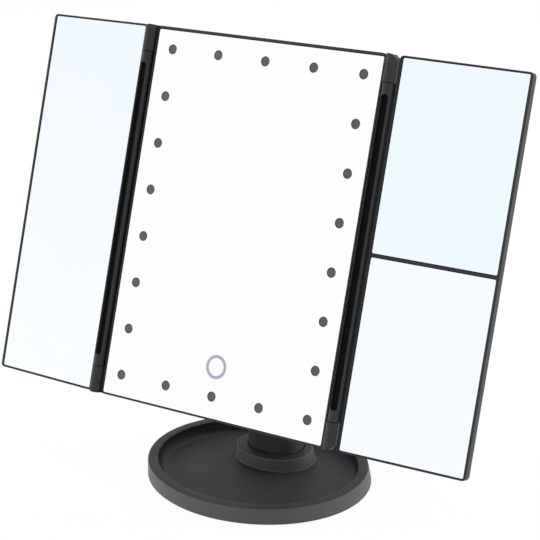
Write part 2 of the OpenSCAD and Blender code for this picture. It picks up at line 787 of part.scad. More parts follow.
module tilt_bracket() {
    color(darker) in_head() difference() {
        union() {
            translate([0, 0, -pivot_below]) along_y(bracket_y, panel_d) rounded(bracket_w, bracket_h, 2);
            for (s = [-1, 1]) at_pivot() {
                rod_x(barrel_r, s > 0 ? ear_in : -ear_out, s > 0 ? ear_out : -ear_in);
                translate([s > 0 ? ear_in : -ear_out, -pivot_out - bracket_t / 2, -barrel_r])
                    cube([ear_t, pivot_out + bracket_t / 2, 2 * barrel_r]);
            }
        }
        at_pivot() rod_x(shaft_r + press_gap, -ear_out - cut, ear_out + cut);
        bracket_screw_places() {
            rod_y(plate_screw[0] + seat_gap, bracket_y - cut, panel_d + cut);
            rod_y(plate_screw[2] + seat_gap, panel_d - plate_screw[3], panel_d + cut);
        }
    }
}

module bracket_screws() {
    color(steel) in_head() for (sx = [-1, 1], sz = [-1, 1])
        screw_from_back(plate_screw, sx * bracket_screw_x, panel_d - plate_screw[3],
            sz * bracket_screw_z - pivot_below);
}

module tilt_shaft() {
    color(steel) in_head() at_pivot() {
        rod_x(shaft_r, -ear_out - nut_t - 0.8, ear_out + 0.1);
        rod_x(shaft_head_r, ear_out, ear_out + shaft_head_t);
    }
}

module tilt_nut() {
    color(steel) in_head() at_pivot() difference() {
        translate([-ear_out - nut_t, 0, 0]) rotate([0, 90, 0]) cylinder(r = nut_r, h = nut_t, $fn = 6);
        rod_x(shaft_r + press_gap, -ear_out - nut_t - cut, -ear_out + cut);
    }
}

module friction_washers() {
    color("#caa24a") in_head() at_pivot() for (s = [-1, 1]) difference() {
        rod_x(barrel_r - 0.8, s > 0 ? ear_in - washer_t : -ear_in, s > 0 ? ear_in : -ear_in + washer_t);
        rod_x(shaft_r + run_gap, -ear_in - cut, ear_in + cut);
    }
}

module shaft_caps() {
    color(dark) in_head() at_pivot() for (s = [-1, 1]) scale_side(s) difference() {
        rod_x(shaft_cap_r, ear_out, ear_out + shaft_cap_len);
        rod_x(shaft_cap_r - cap_wall, ear_out - cut, ear_out + shaft_cap_len - cap_wall / 2);
    }
}

// ---- control board and its switch

module control_board() {
    color("#2c7a46") in_head() translate([board_x, 0, board_z]) difference() {
        union() {
            along_y(board_y - board_t, board_y) square([board_w, board_h], center = true);
            translate([-4, board_y - board_t - 1.2, 2]) cube([6, 1.3, 6]);
            translate([10, 0, 5]) rod_y(2.5, board_y - board_t - 2.6, board_y - board_t + 0.1);
            translate([-16, board_y - board_t - 2.6, 1]) cube([8, 2.7, 3]);
        }
        for (s = [-1, 1]) translate([s * (board_w / 2 - 3), 0, s * (board_h / 2 - 3)])
            rod_y(board_screw[0] + seat_gap, board_y - 2 * board_t, board_y + cut);
    }
}

module board_screws() {
    color(steel) in_head() board_screw_places() translate([0, board_y - board_t, 0]) rotate([90, 0, 0])
        screw(board_screw);
}

module usb_socket() {
    inside = [usb_size[0] - 0.8, usb_size[2] - 0.8];
    color(steel) in_head() translate([usb_x, 0, board_z]) {
        difference() {
            along_y(board_y, board_y + usb_size[1]) rounded(usb_size[0], usb_size[2], 0.9);
            along_y(board_y + cut, board_y + usb_size[1] + cut) rounded(inside[0], inside[1], 0.5);
        }
        along_y(board_y + cut / 2, board_y + usb_size[1] - 0.8)
            square([inside[0] * 0.55, 0.6], center = true);
    }
}

module power_switch() {
    color("#202020") in_head() translate([switch_x + knob_travel / 2, 0, board_z]) difference() {
        along_y(board_y, board_y + switch_size[1]) square([switch_size[0], switch_size[2]], center = true);
        along_y(board_y + switch_size[1] - 2.4, board_y + switch_size[1] + cut)
            square([knob_stem[0] + knob_travel + 2 * part_gap, knob_stem[1] + 2 * part_gap], center = true);
    }
}

module switch_knob() {
    thumb_y = board_y + switch_size[1] + 0.15;
    color("#151515") in_head() translate([switch_x, 0, board_z]) difference() {
        union() {
            along_y(thumb_y, panel_d + knob_proud) square(knob_size, center = true);
            along_y(thumb_y - 2.2, thumb_y + 0.1) square(knob_stem, center = true);
        }
        for (i = [-1:1]) translate([i * 1.4 - 0.3, panel_d + knob_proud - 0.4, -knob_size[1]])
            cube([0.6, cut, 2 * knob_size[1]]);
    }
}

// ---- batteries

module door_axis() {
    translate([0, door_y + door_t / 2, bay_z - door_h / 2 + door_t / 2]) children();
}

module battery_door() {
    tongue = [12, 2, 1.2];
    color(dark) in_head() difference() {
        union() {
            translate([-door_w / 2, door_y, bay_z - door_h / 2 + door_t / 2])
                cube([door_w, door_t, door_h - door_t / 2]);
            door_axis() rod_x(door_t / 2, -door_w / 2, door_w / 2);
            door_axis() rod_x(0.7, -door_w / 2 - 1, door_w / 2 + 1);
            translate([-tongue[0] / 2, door_y - tongue[1], bay_z + bay_h / 2 - tongue[2] - 0.6])
                cube([tongue[0], tongue[1] + 0.1, tongue[2]]);
        }
        translate([0, 0, bay_z + door_h / 2 - 4.5]) along_y(panel_d - 0.7, panel_d + cut) {
            difference() {
                circle(5);
                translate([-6, -8]) square([12, 8]);
            }
        }
    }
}

// cell i: its height, and which way its nub points
function cell_z(i) = bay_z + (i - (cell_count - 1) / 2) * cell_pitch;
function cell_dir(i) = i % 2 == 0 ? 1 : -1;

module in_cell(i) {
    in_head() translate([0, cell_y, cell_z(i)]) scale_side(cell_dir(i)) children();
}

nub_x = bay_w / 2 - 1.6;
cell_back_x = nub_x - cell_l;

module batteries() {
    color("#7c8a94") for (i = [0:cell_count - 1]) in_cell(i) {
        rod_x(cell_d / 2, cell_back_x, nub_x - cell_nub);
        rod_x(1.9, nub_x - cell_nub - 0.1, nub_x);
    }
}

module battery_springs() {
    color(steel) for (i = [0:cell_count - 1]) in_cell(i) {
        translate([-bay_w / 2, -contact[1] / 2, -contact[1] / 2]) cube([contact[0], contact[1], contact[1]]);
        translate([-bay_w / 2 + 0.3, 0, 0]) rotate([0, 90, 0])
            cylinder(r1 = 3.4, r2 = 2, h = cell_back_x + bay_w / 2 - 0.3);
    }
}

module battery_contacts() {
    color(steel) for (i = [0:cell_count - 1]) in_cell(i) {
        translate([bay_w / 2 - contact[0], -contact[1] / 2, -contact[1] / 2])
            cube([contact[0], contact[1], contact[1]]);
        rod_x(1.6, nub_x, bay_w / 2 - 0.3);
    }
}

// a run of wire through right-angled corners
module wire(points, r) {
    for (i = [0:len(points) - 2]) {
        d = points[i + 1] - points[i];
        translate(points[i]) rotate([0, acos(d[2] / norm(d)), atan2(d[1], d[0])])
            cylinder(r = r, h = norm(d), $fn = 16);
    }
    for (i = [1:len(points) - 2]) translate(points[i]) sphere(r, $fn = 16);
}

module wires() {
    wire_r = 0.6;
    wire_y = board_y - 4;
    bay_side = bay_w / 2 + bay_wall;
    board_front = board_y - board_t;
    color("#a02020") in_head() {
        for (i = [0, 1]) wire([
            [bay_side, wire_y, bay_z - 12 - 3 * i],
            [bay_side + 8 - 3 * i, wire_y, bay_z - 12 - 3 * i],
            [bay_side + 8 - 3 * i, wire_y, board_z + board_h / 2 - 2],
            [bay_side + 8 - 3 * i, board_front, board_z + board_h / 2 - 2]
        ], wire_r);
        wire([
            [0, carrier_back - seat_gap, touch_z],
            [0, wire_y, touch_z],
            [board_x - board_w / 2 + 3, wire_y, touch_z],
            [board_x - board_w / 2 + 3, wire_y, board_z + 4],
            [board_x - board_w / 2 + 3, board_front, board_z + 4]
        ], wire_r);
        wire([
            [usb_x, led_board_y + led_board_t, led_mid - led_z],
            [usb_x, board_front, led_mid - led_z]
        ], wire_r);
    }
}

// ---- wings

// the openings that hold one wing's glasses: [middle height, height]
function wing_glasses(halves) = halves == 1
    ? [[0, wing_glass_h]]
    : [for (s = [1, -1]) [s * (bar_w + half_glass_h) / 2, half_glass_h]];

module wing_outline() {
    translate([(wing_x0 + wing_x1) / 2, 0]) rounded(wing_x1 - wing_x0, frame_h, corner_r);
}

module wing_glass(side, place) {
    color(silver) in_wing(side) translate([(wing_glass_x0 + wing_glass_x1) / 2, 0, place[0]])
        along_y(wing_glass_y, wing_glass_y + glass_t) rounded(wing_glass_w, place[1], glass_r);
}

module slot_outline(inset) {
    rounded(slot_w - 2 * inset, slot_l - 2 * inset, slot_w / 2 - 0.1);
}

// the black strip at the bottom of a spine's slot
module slot_strip(side) {
    color("#101010") in_wing(side)
        along_y(-spine_r + strip_depth, -spine_r + slot_depth - press_gap) slot_outline(press_gap);
}

module wing_frame(side, halves) {
    middle_x = (wing_glass_x0 + wing_glass_x1) / 2;
    ledge_front = wing_glass_y + glass_t + seat_gap;
    color(dark) in_wing(side) difference() {
        union() {
            along_y(wing_lip_y, wing_seam_y) wing_outline();
            translate([0, 0, -spine_z]) cylinder(r = spine_r, h = 2 * spine_z);
            translate([0, wing_web_y, -spine_z]) cube([wing_x0 + 0.5, spine_r - wing_web_y, 2 * spine_z]);
        }
        for (place = wing_glasses(halves)) translate([middle_x, 0, place[0]]) {
            w = wing_glass_w + 2 * glass_gap;
            h = place[1] + 2 * glass_gap;
            along_y(wing_lip_y - cut, ledge_front) rounded(w, h, glass_r);
            along_y(wing_lip_y - cut, wing_seam_y + cut)
                rounded(w - 2 * wing_ledge_w, h - 2 * wing_ledge_w, glass_r);
        }
        translate([middle_x, 0, 0]) along_y(ledge_front + wing_ledge_t, wing_seam_y + cut)
            rounded(wing_glass_w, wing_glass_h, glass_r);
        along_y(-spine_r - cut, -spine_r + slot_depth) slot_outline(0);
        for (s = [-1, 1]) translate([0, 0, s > 0 ? spine_z - pin_depth - seat_gap : -spine_z - cut])
            cylinder(r = pin_r + run_gap, h = pin_depth + seat_gap + cut);
    }
}

module wing_back(side) {
    edge = 1.3;
    steps = 3;
    middle_x = (wing_x0 + wing_x1) / 2;
    w = wing_x1 - wing_x0;
    back_y = wing_seam_y + wing_back_t;
    rib = wing_ledge_w - 0.6;
    rings = [
        for (i = [0:steps]) let (t = 90 * i / steps, inset = edge * (1 - cos(t)))
            ring_at_y(round_rect(w - 2 * inset, frame_h - 2 * inset, corner_r), back_y - edge + edge * sin(t))
    ];
    color(dark) in_wing(side) {
        translate([middle_x, 0, 0])
            loft(concat([ring_at_y(round_rect(w, frame_h, corner_r), wing_seam_y)], rings));
        translate([(wing_glass_x0 + wing_glass_x1) / 2, 0, 0]) difference() {
            along_y(wing_seam_y - 1, wing_seam_y + 0.2)
                rounded(wing_glass_w - 2 * seat_gap, wing_glass_h - 2 * seat_gap, glass_r);
            along_y(wing_seam_y - cut - 1, wing_seam_y)
                rounded(wing_glass_w - 2 * rib, wing_glass_h - 2 * rib, glass_r);
        }
    }
}

base_tray();
base_cover();
base_screws();
rubber_pad();
foot_screws();
neck_front();
neck_back();
neck_screws();
centre_frame();
mirror_carrier();
centre_mirror();
led_lenses();
touch_ring();
touch_sensor();
led_board();
leds();
back_housing();
housing_screws();
tilt_bracket();
bracket_screws();
tilt_shaft();
tilt_nut();
friction_washers();
shaft_caps();
control_board();
board_screws();
usb_socket();
power_switch();
switch_knob();
battery_door();
batteries();
battery_springs();
battery_contacts();
wires();
hinge_caps();
hinge_pins(-1);  // left_hinge_pins
hinge_pins(1);  // right_hinge_pins
wing_frame(-1, 1);  // left_wing_frame
slot_strip(-1);  // left_slot_strip
wing_glass(-1, wing_glasses(1)[0]);  // left_wing_mirror
wing_back(-1);  // left_wing_back
wing_frame(1, 2);  // right_wing_frame
slot_strip(1);  // right_slot_strip
wing_glass(1, wing_glasses(2)[0]);  // right_upper_mirror
wing_glass(1, wing_glasses(2)[1]);  // right_lower_mirror
wing_back(1);  // right_wing_back
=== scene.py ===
"""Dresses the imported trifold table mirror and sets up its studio.

Lengths are in millimetres, and MM turns them into Blender's metres. Only the studio's floor, its lamps, the
camera's clip distances and the depths of bumps are in metres. The head's own frame has its origin in the
middle of the centre panel, on the glass's face: x runs along the glass's width, y towards the back and z up.
"""
import logging
import math
from collections.abc import Callable, Iterable, Mapping, Sequence
from dataclasses import dataclass, field
from enum import Enum

import bmesh
import bpy
from mathutils import Matrix, Vector


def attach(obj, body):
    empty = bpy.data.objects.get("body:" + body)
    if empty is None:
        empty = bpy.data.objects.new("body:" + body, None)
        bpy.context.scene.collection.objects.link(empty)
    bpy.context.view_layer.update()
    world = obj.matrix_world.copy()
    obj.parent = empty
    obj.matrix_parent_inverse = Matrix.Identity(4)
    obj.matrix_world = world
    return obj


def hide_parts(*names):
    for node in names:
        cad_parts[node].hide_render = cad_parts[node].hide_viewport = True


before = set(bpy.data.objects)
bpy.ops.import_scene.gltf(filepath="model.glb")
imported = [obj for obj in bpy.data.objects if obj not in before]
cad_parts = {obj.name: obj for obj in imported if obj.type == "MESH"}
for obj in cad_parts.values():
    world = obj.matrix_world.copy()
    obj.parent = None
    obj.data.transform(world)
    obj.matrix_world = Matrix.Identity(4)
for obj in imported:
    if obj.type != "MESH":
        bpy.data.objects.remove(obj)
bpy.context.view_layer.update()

log = logging.getLogger("vanity_mirror")

MM = 0.001
Colour = tuple[float, float, float]
Pair = tuple[float, float]
Point = tuple[float, float, float]
Ring = list[Vector]
Socket = bpy.types.NodeSocket
Node = bpy.types.Node
NodeTree = bpy.types.NodeTree
BMesh = bmesh.types.BMesh

WHITE: Colour = (1.0, 1.0, 1.0)
DUST: Colour = (0.55, 0.54, 0.52)


class Body(Enum):
    """The rigid bodies that modelled pieces ride on, by their names in the record."""

    STAND = "stand"
    HEAD = "head"


class Slot(Enum):
    """The record's material slots, by their names in the record."""

    SHELL = "shell"
    INNER_BLACK = "inner_black"
    LENS = "lens"
    STEEL = "steel"


# ---- shader building


class Nodes:
    """Builds and links the nodes of one material, world or node group."""

    def __init__(self, tree: NodeTree) -> None:
        """Keeps the tree that the nodes go into."""
        self.tree = tree

    def fill(self, node: Node, inputs: Mapping[str | int, object]) -> Node:
        """Fills a node's inputs.

        Args:
            node: the node.
            inputs: socket name or number to a constant, or to an output socket that is linked to it.

        Returns:
            The same node.
        """
        for name, value in inputs.items():
            if isinstance(value, Socket):
                self.tree.links.new(value, node.inputs[name])
            else:
                node.inputs[name].default_value = value
        return node

    def add(self, kind: str, inputs: Mapping[str | int, object] | None = None,
            **settings: object) -> Node:
        """Adds a node.

        Args:
            kind: the node's Blender type.
            inputs: what fill takes.
            settings: the node's own properties.

        Returns:
            The new node.
        """
        node = self.tree.nodes.new(kind)
        for name, value in settings.items():
            setattr(node, name, value)
        return self.fill(node, inputs or {})

    def math(self, operation: str, a: object, b: object) -> Socket:
        """Adds a Math node and returns its result."""
        return self.add("ShaderNodeMath", {0: a, 1: b}, operation=operation).outputs[0]

    def one_minus(self, value: object) -> Socket:
        """Returns 1 less a value."""
        return self.math("SUBTRACT", 1.0, value)

    def blend(self, factor: object, a: object, b: object, kind: str = "MIX") -> Socket:
        """Mixes two colours and returns the result."""
        node = self.add("ShaderNodeMix", {0: factor, 6: a, 7: b}, data_type="RGBA", blend_type=kind)
        return node.outputs[2]

    def ramp(self, factor: object, low: float, high: float, smooth: bool = True) -> Socket:
        """Maps a range of values to 0..1 and clamps it.

        Args:
            factor: the value to map.
            low: the value that becomes 0.
            high: the value that becomes 1.
            smooth: whether the change is eased at both ends.

        Returns:
            The result.
        """
        kind = "SMOOTHSTEP" if smooth else "LINEAR"
        return self.add("ShaderNodeMapRange", {0: factor, 1: low, 2: high}, interpolation_type=kind,
                        clamp=True).outputs[0]

    def where(self) -> Socket:
        """Returns the part's own coordinates."""
        return self.add("ShaderNodeTexCoord").outputs["Object"]

    def z_of(self, vector: Socket) -> Socket:
        """Returns a vector's z."""
        return self.add("ShaderNodeSeparateXYZ", {0: vector}).outputs["Z"]

    def facing_up(self) -> Socket:
        """Returns how far the surface faces up: 1 for level and 0 for upright."""
        return self.z_of(self.add("ShaderNodeNewGeometry").outputs["Normal"])

    def scaled(self, value: object, gain: float, base: object) -> Socket:
        """Returns base plus gain times a value."""
        return self.math("ADD", base, self.math("MULTIPLY", value, gain))

    def noise(self, scale: object, detail: float = 3.0, rough: float = 0.5,
              vector: Socket | None = None) -> Socket:
        """Adds a Noise texture, by default on the part's own coordinates, and returns its value."""
        inputs = {"Vector": vector or self.where(), "Scale": scale, "Detail": detail, "Roughness": rough}
        return self.add("ShaderNodeTexNoise", inputs).outputs[0]


def fresh_nodes(owner: bpy.types.Material | bpy.types.World) -> Nodes:
    """Clears the nodes of a material or world.

    Args:
        owner: the material or world.

    Returns:
        The builder of its nodes.
    """
    owner.use_nodes = True
    owner.node_tree.nodes.clear()
    return Nodes(owner.node_tree)


def rgba(colour: Colour) -> tuple[float, float, float, float]:
    """Returns the colour with full alpha."""
    return (*colour, 1.0)


def brighter(colour: Colour, gain: float, lift: float = 0.0) -> tuple[float, float, float, float]:
    """Returns the colour times gain plus lift, at most white, with full alpha."""
    return rgba(tuple(min(1.0, gain * c + lift) for c in colour))


class Effect(Enum):
    """Shader node groups that several finishes share."""

    SOFT_EDGES = "soft_edges"
    MOULDED_GRAIN = "moulded_grain"
    TONE = "tone_variation"
    DUST = "settled_dust"
    HAIRLINES = "hairlines"
    SMUDGES = "smudges"


class Effects:
    """Makes each shared node group once and places it in materials."""

    _made: dict[Effect, NodeTree] = {}

    @classmethod
    def place(cls, nodes: Nodes, effect: Effect, **inputs: object) -> Node:
        """Places a shared group in a material.

        Args:
            nodes: the material's nodes.
            effect: which group.
            inputs: values or output sockets for the group's inputs.

        Returns:
            The group's node.
        """
        if effect not in cls._made:
            cls._made[effect] = getattr(cls, f"_make_{effect.value}")()
        return nodes.add("ShaderNodeGroup", inputs, node_tree=cls._made[effect])

    @staticmethod
    def _tree(name: str, inputs: Sequence[tuple[str, str, object]],
              outputs: Sequence[tuple[str, str]]) -> tuple[Nodes, Node, Node]:
        """Starts a group.

        Args:
            name: the group's name.
            inputs: (name, socket type, default) of each input.
            outputs: (name, socket type) of each output.

        Returns:
            The group's nodes, its input node and its output node.
        """
        tree = bpy.data.node_groups.new(name, "ShaderNodeTree")
        for label, kind, default in inputs:
            socket = tree.interface.new_socket(label, in_out="INPUT", socket_type=kind)
            socket.default_value = default
        for label, kind in outputs:
            tree.interface.new_socket(label, in_out="OUTPUT", socket_type=kind)
        nodes = Nodes(tree)
        return nodes, nodes.add("NodeGroupInput"), nodes.add("NodeGroupOutput")

    @classmethod
    def _make_soft_edges(cls) -> NodeTree:
        """Rounds edges in the shading, and masks them for rubbing and a painted edge highlight.

        Returns:
            The group.
        """
        nodes, start, end = cls._tree(
            "soft_edges", [("Radius", "NodeSocketFloat", 0.0004)],
            [("Normal", "NodeSocketVector"), ("Edge", "NodeSocketFloat")])
        bevel = nodes.add("ShaderNodeBevel", {"Radius": start.outputs["Radius"]}, samples=6)
        flat = nodes.add("ShaderNodeNewGeometry")
        turn = nodes.add("ShaderNodeVectorMath", {0: bevel.outputs[0], 1: flat.outputs["Normal"]},
                         operation="DOT_PRODUCT")
        edge = nodes.ramp(nodes.one_minus(turn.outputs["Value"]), 0.02, 0.22)
        nodes.fill(end, {"Normal": bevel.outputs[0], "Edge": edge})
        return nodes.tree

    @classmethod
    def _make_moulded_grain(cls) -> NodeTree:
        """Fine spark-eroded grain of a moulding tool.

        Returns:
            The group.
        """
        nodes, start, end = cls._tree(
            "moulded_grain", [("Grain", "NodeSocketFloat", 2600.0)],
            [("Height", "NodeSocketFloat"), ("Speckle", "NodeSocketFloat")])
        fine = nodes.noise(start.outputs["Grain"], detail=4.0, rough=0.65)
        coarse = nodes.noise(nodes.math("MULTIPLY", start.outputs["Grain"], 0.31), detail=2.0)
        height = nodes.scaled(coarse, 0.3, nodes.math("MULTIPLY", fine, 0.7))
        nodes.fill(end, {"Height": height, "Speckle": nodes.ramp(fine, 0.58, 0.72)})
        return nodes.tree

    @classmethod
    def _make_tone_variation(cls) -> NodeTree:
        """Broad, faint changes of tone over a surface.

        Returns:
            The group.
        """
        nodes, start, end = cls._tree(
            "tone_variation",
            [("Colour", "NodeSocketColor", (0.5, 0.5, 0.5, 1.0)), ("Amount", "NodeSocketFloat", 0.1),
             ("Scale", "NodeSocketFloat", 18.0)],
            [("Colour", "NodeSocketColor"), ("Tone", "NodeSocketFloat")])
        tone = nodes.ramp(nodes.noise(start.outputs["Scale"], rough=0.55), 0.3, 0.7)
        shift = nodes.math("MULTIPLY", nodes.math("SUBTRACT", tone, 0.5), start.outputs["Amount"])
        gain = nodes.scaled(shift, 2.0, 1.0)
        grey = nodes.add("ShaderNodeCombineColor", {0: gain, 1: gain, 2: gain})
        colour = nodes.blend(1.0, start.outputs["Colour"], grey.outputs[0], "MULTIPLY")
        nodes.fill(end, {"Colour": colour, "Tone": tone})
        return nodes.tree

    @classmethod
    def _make_settled_dust(cls) -> NodeTree:
        """A faint veil of dust on faces that look up.

        Returns:
            The group.
        """
        nodes, start, end = cls._tree(
            "settled_dust", [("Amount", "NodeSocketFloat", 0.05)], [("Mask", "NodeSocketFloat")])
        facing = nodes.ramp(nodes.facing_up(), 0.35, 1.0)
        patches = nodes.ramp(nodes.noise(55.0, detail=5.0, rough=0.6), 0.35, 0.75)
        mask = nodes.math("MULTIPLY", nodes.math("MULTIPLY", facing, patches), start.outputs["Amount"])
        nodes.fill(end, {"Mask": mask})
        return nodes.tree

    @classmethod
    def _make_hairlines(cls) -> NodeTree:
        """Fine lines along one direction, from turning or drawing metal.

        Returns:
            The group.
        """
        nodes, start, end = cls._tree(
            "hairlines", [("Scale", "NodeSocketFloat", 900.0)],
            [("Height", "NodeSocketFloat"), ("Mask", "NodeSocketFloat")])
        stretch = nodes.add("ShaderNodeMapping", {"Vector": nodes.where(), "Scale": (0.06, 1.0, 1.0)})
        lines = nodes.noise(start.outputs["Scale"], rough=0.6, vector=stretch.outputs[0])
        nodes.fill(end, {"Height": lines, "Mask": nodes.ramp(lines, 0.35, 0.65)})
        return nodes.tree

    @classmethod
    def _make_smudges(cls) -> NodeTree:
        """Soft wiping marks on polished glass.

        Returns:
            The group.
        """
        nodes, start, end = cls._tree(
            "smudges", [("Amount", "NodeSocketFloat", 0.02)], [("Value", "NodeSocketFloat")])
        wipe = nodes.add("ShaderNodeMapping", {
            "Vector": nodes.where(), "Rotation": (0.0, 0.7, 0.0), "Scale": (1.0, 1.0, 0.3)})
        marks = nodes.ramp(nodes.noise(26.0, detail=6.0, rough=0.62, vector=wipe.outputs[0]), 0.42, 0.75)
        nodes.fill(end, {"Value": nodes.math("MULTIPLY", marks, start.outputs["Amount"])})
        return nodes.tree


# ---- finishes


@dataclass(frozen=True)
class Finish:
    """A finish that makes its material once, when it is first asked for."""

    name: str

    def material(self) -> bpy.types.Material:
        """Makes the material when it is first asked for.

        Returns:
            This finish's material.
        """
        found = bpy.data.materials.get(self.name)
        if found:
            return found
        made = bpy.data.materials.new(self.name)
        nodes = fresh_nodes(made)
        shader = nodes.add("ShaderNodeBsdfPrincipled")
        self.paint(nodes, shader)
        nodes.add("ShaderNodeOutputMaterial", {"Surface": shader.outputs[0]})
        return made

    def paint(self, nodes: Nodes, shader: Node) -> None:
        """Sets and links the shader's sockets; each finish has its own."""
        raise NotImplementedError


@dataclass(frozen=True)
class MouldedPlastic(Finish):
    """Satin plastic with a moulding grain, softened edges, faint dust, and lighter edges that are partly
    rubbed and partly a painted highlight.
    """

    colour: Colour
    roughness: float = 0.46
    grain: float = 2600.0
    grain_depth: float = 0.00002
    edge_radius: float = 0.35
    # How much the edges lighten, partly as rubbing and partly as a painted highlight.
    wear_and_highlight: float = 0.25
    dust: float = 0.02
    specular: float = 0.5

    def paint(self, nodes: Nodes, shader: Node) -> None:
        """Links tone, dust and lighter edges, partly rubbed and partly a painted highlight, to the colour,
        and grain and soft edges to the normal.

        Args:
            nodes: the material's nodes.
            shader: its Principled BSDF.
        """
        tone = Effects.place(nodes, Effect.TONE, Colour=self.tint(nodes), Amount=0.05, Scale=22.0)
        edges = Effects.place(nodes, Effect.SOFT_EDGES, Radius=self.edge_radius * MM)
        grain = Effects.place(nodes, Effect.MOULDED_GRAIN, Grain=self.grain)
        dust = Effects.place(nodes, Effect.DUST, Amount=self.dust)
        lighter = brighter(self.colour, gain=1.7, lift=0.01)
        # Lighter edges: partly rubbing, partly a painted highlight along them.
        wear_and_highlight = nodes.math("MULTIPLY", edges.outputs["Edge"], self.wear_and_highlight)
        worn_and_highlit = nodes.blend(wear_and_highlight, tone.outputs["Colour"], lighter)
        speckled = nodes.blend(nodes.math("MULTIPLY", grain.outputs["Speckle"], 0.12), worn_and_highlit, lighter)
        dusty = nodes.blend(dust.outputs["Mask"], speckled, rgba(DUST))
        sheen = nodes.scaled(tone.outputs["Tone"], 0.1, self.roughness - 0.05)
        worn_sheen = nodes.math("SUBTRACT", sheen, nodes.math("MULTIPLY", edges.outputs["Edge"], 0.2))
        bump = nodes.add("ShaderNodeBump", {
            "Strength": 0.35, "Distance": self.grain_depth,
            "Height": grain.outputs["Height"], "Normal": edges.outputs["Normal"]})
        nodes.fill(shader, {
            "Base Color": dusty, "Roughness": worn_sheen, "Normal": bump.outputs[0],
            "Specular IOR Level": self.specular})

    def tint(self, nodes: Nodes) -> Socket | tuple[float, float, float, float]:
        """Returns the plastic's colour before its lighter edges and dust."""
        return rgba(self.colour)


@dataclass(frozen=True)
class TrayPlastic(MouldedPlastic):
    """The tray's plastic, with painted light on its upright sides and painted shade on the wall of its
    hollow.

    The hollow's wall lies between two shares of reach, the half length and half width of the rim.
    """

    # The upright faces' colour is painted light, and the hollow wall's colour is painted shade.
    sides: Colour = (0.05, 0.05, 0.05)
    hollow: Colour = (0.01, 0.01, 0.01)
    reach: Pair = (74.5, 56.8)
    hollow_from: Pair = (0.70, 0.76)
    hollow_to: Pair = (0.93, 0.95)
    upright: Pair = (0.6, 0.995)

    def tint(self, nodes: Nodes) -> Socket:
        """Blends the plastic's colour, painted light and painted shade by how steep the surface is and how
        far out it lies.

        Args:
            nodes: the material's nodes.

        Returns:
            The blended colour.
        """
        spread = nodes.add("ShaderNodeMapping", {
            "Vector": nodes.where(), "Scale": (1 / (self.reach[0] * MM), 1 / (self.reach[1] * MM), 0.0)})
        out = nodes.add("ShaderNodeVectorMath", {0: spread.outputs[0]}, operation="LENGTH").outputs["Value"]
        steep = nodes.one_minus(nodes.ramp(nodes.facing_up(), *self.upright))
        within = nodes.one_minus(nodes.ramp(out, *self.hollow_to))
        painted_shade_mask = nodes.math("MULTIPLY", nodes.ramp(out, *self.hollow_from), within)
        # Steep faces take painted light, and the hollow's wall takes painted shade.
        side = nodes.blend(painted_shade_mask, rgba(self.sides), rgba(self.hollow))
        return nodes.blend(steep, rgba(self.colour), side)


@dataclass(frozen=True)
class MirrorGlass(Finish):
    """Silvered glass: a mirror with a slight tint, a painted reflection that changes the tint up the glass,
    and the faintest wiping marks.
    """

    top_tint_and_reflection: Colour
    low_tint_and_reflection: Colour
    fade: Pair = (80.0, 270.0)

    def paint(self, nodes: Nodes, shader: Node) -> None:
        """Links a painted reflection, a slow change of tint up the glass, to the colour and wiping marks to
        the roughness.

        Args:
            nodes: the material's nodes.
            shader: its Principled BSDF.
        """
        tone = Effects.place(nodes, Effect.TONE, Amount=0.0, Scale=4.0)
        # The tint changes up the glass as a painted reflection.
        rise = nodes.ramp(nodes.z_of(nodes.where()), self.fade[0] * MM, self.fade[1] * MM, smooth=False)
        share = nodes.scaled(tone.outputs["Tone"], 0.25, nodes.math("MULTIPLY", rise, 0.75))
        smudges = Effects.place(nodes, Effect.SMUDGES, Amount=0.02)
        nodes.fill(shader, {
            "Base Color": nodes.blend(share, rgba(self.low_tint_and_reflection), rgba(self.top_tint_and_reflection)),
            "Roughness": nodes.math("ADD", 0.012, smudges.outputs["Value"]), "Metallic": 1.0})


@dataclass(frozen=True)
class FrostedLens(Finish):
    """A smoky diffuser behind a clear spot: mottled, with a darker rim."""

    colour: Colour
    rim: Colour
    relief: float = 0.00003

    def paint(self, nodes: Nodes, shader: Node) -> None:
        """Darkens the rim by the disc's own coordinates and mottles the middle.

        Args:
            nodes: the material's nodes.
            shader: its Principled BSDF.
        """
        where = nodes.add("ShaderNodeUVMap", uv_map=LightRow.DISC_MAP).outputs[0]
        middle = nodes.add("ShaderNodeVectorMath", {0: where, 1: (0.5, 0.5, 0.0)}, operation="DISTANCE")
        rim = nodes.ramp(middle.outputs["Value"], 0.33, 0.5)
        cells = nodes.add("ShaderNodeTexVoronoi", {"Vector": nodes.where(), "Scale": 1500.0})
        fine = nodes.math("MULTIPLY", nodes.noise(700.0, detail=4.0, rough=0.6), 0.6)
        mottle = nodes.scaled(cells.outputs["Distance"], 0.6, fine)
        body = nodes.blend(nodes.ramp(mottle, 0.35, 0.75), rgba(self.colour), brighter(self.colour, gain=1.5))
        bump = nodes.add("ShaderNodeBump", {"Strength": 0.3, "Distance": self.relief, "Height": mottle})
        nodes.fill(shader, {
            "Base Color": nodes.blend(rim, body, rgba(self.rim)),
            "Roughness": nodes.scaled(mottle, 0.2, 0.35), "Normal": bump.outputs[0]})


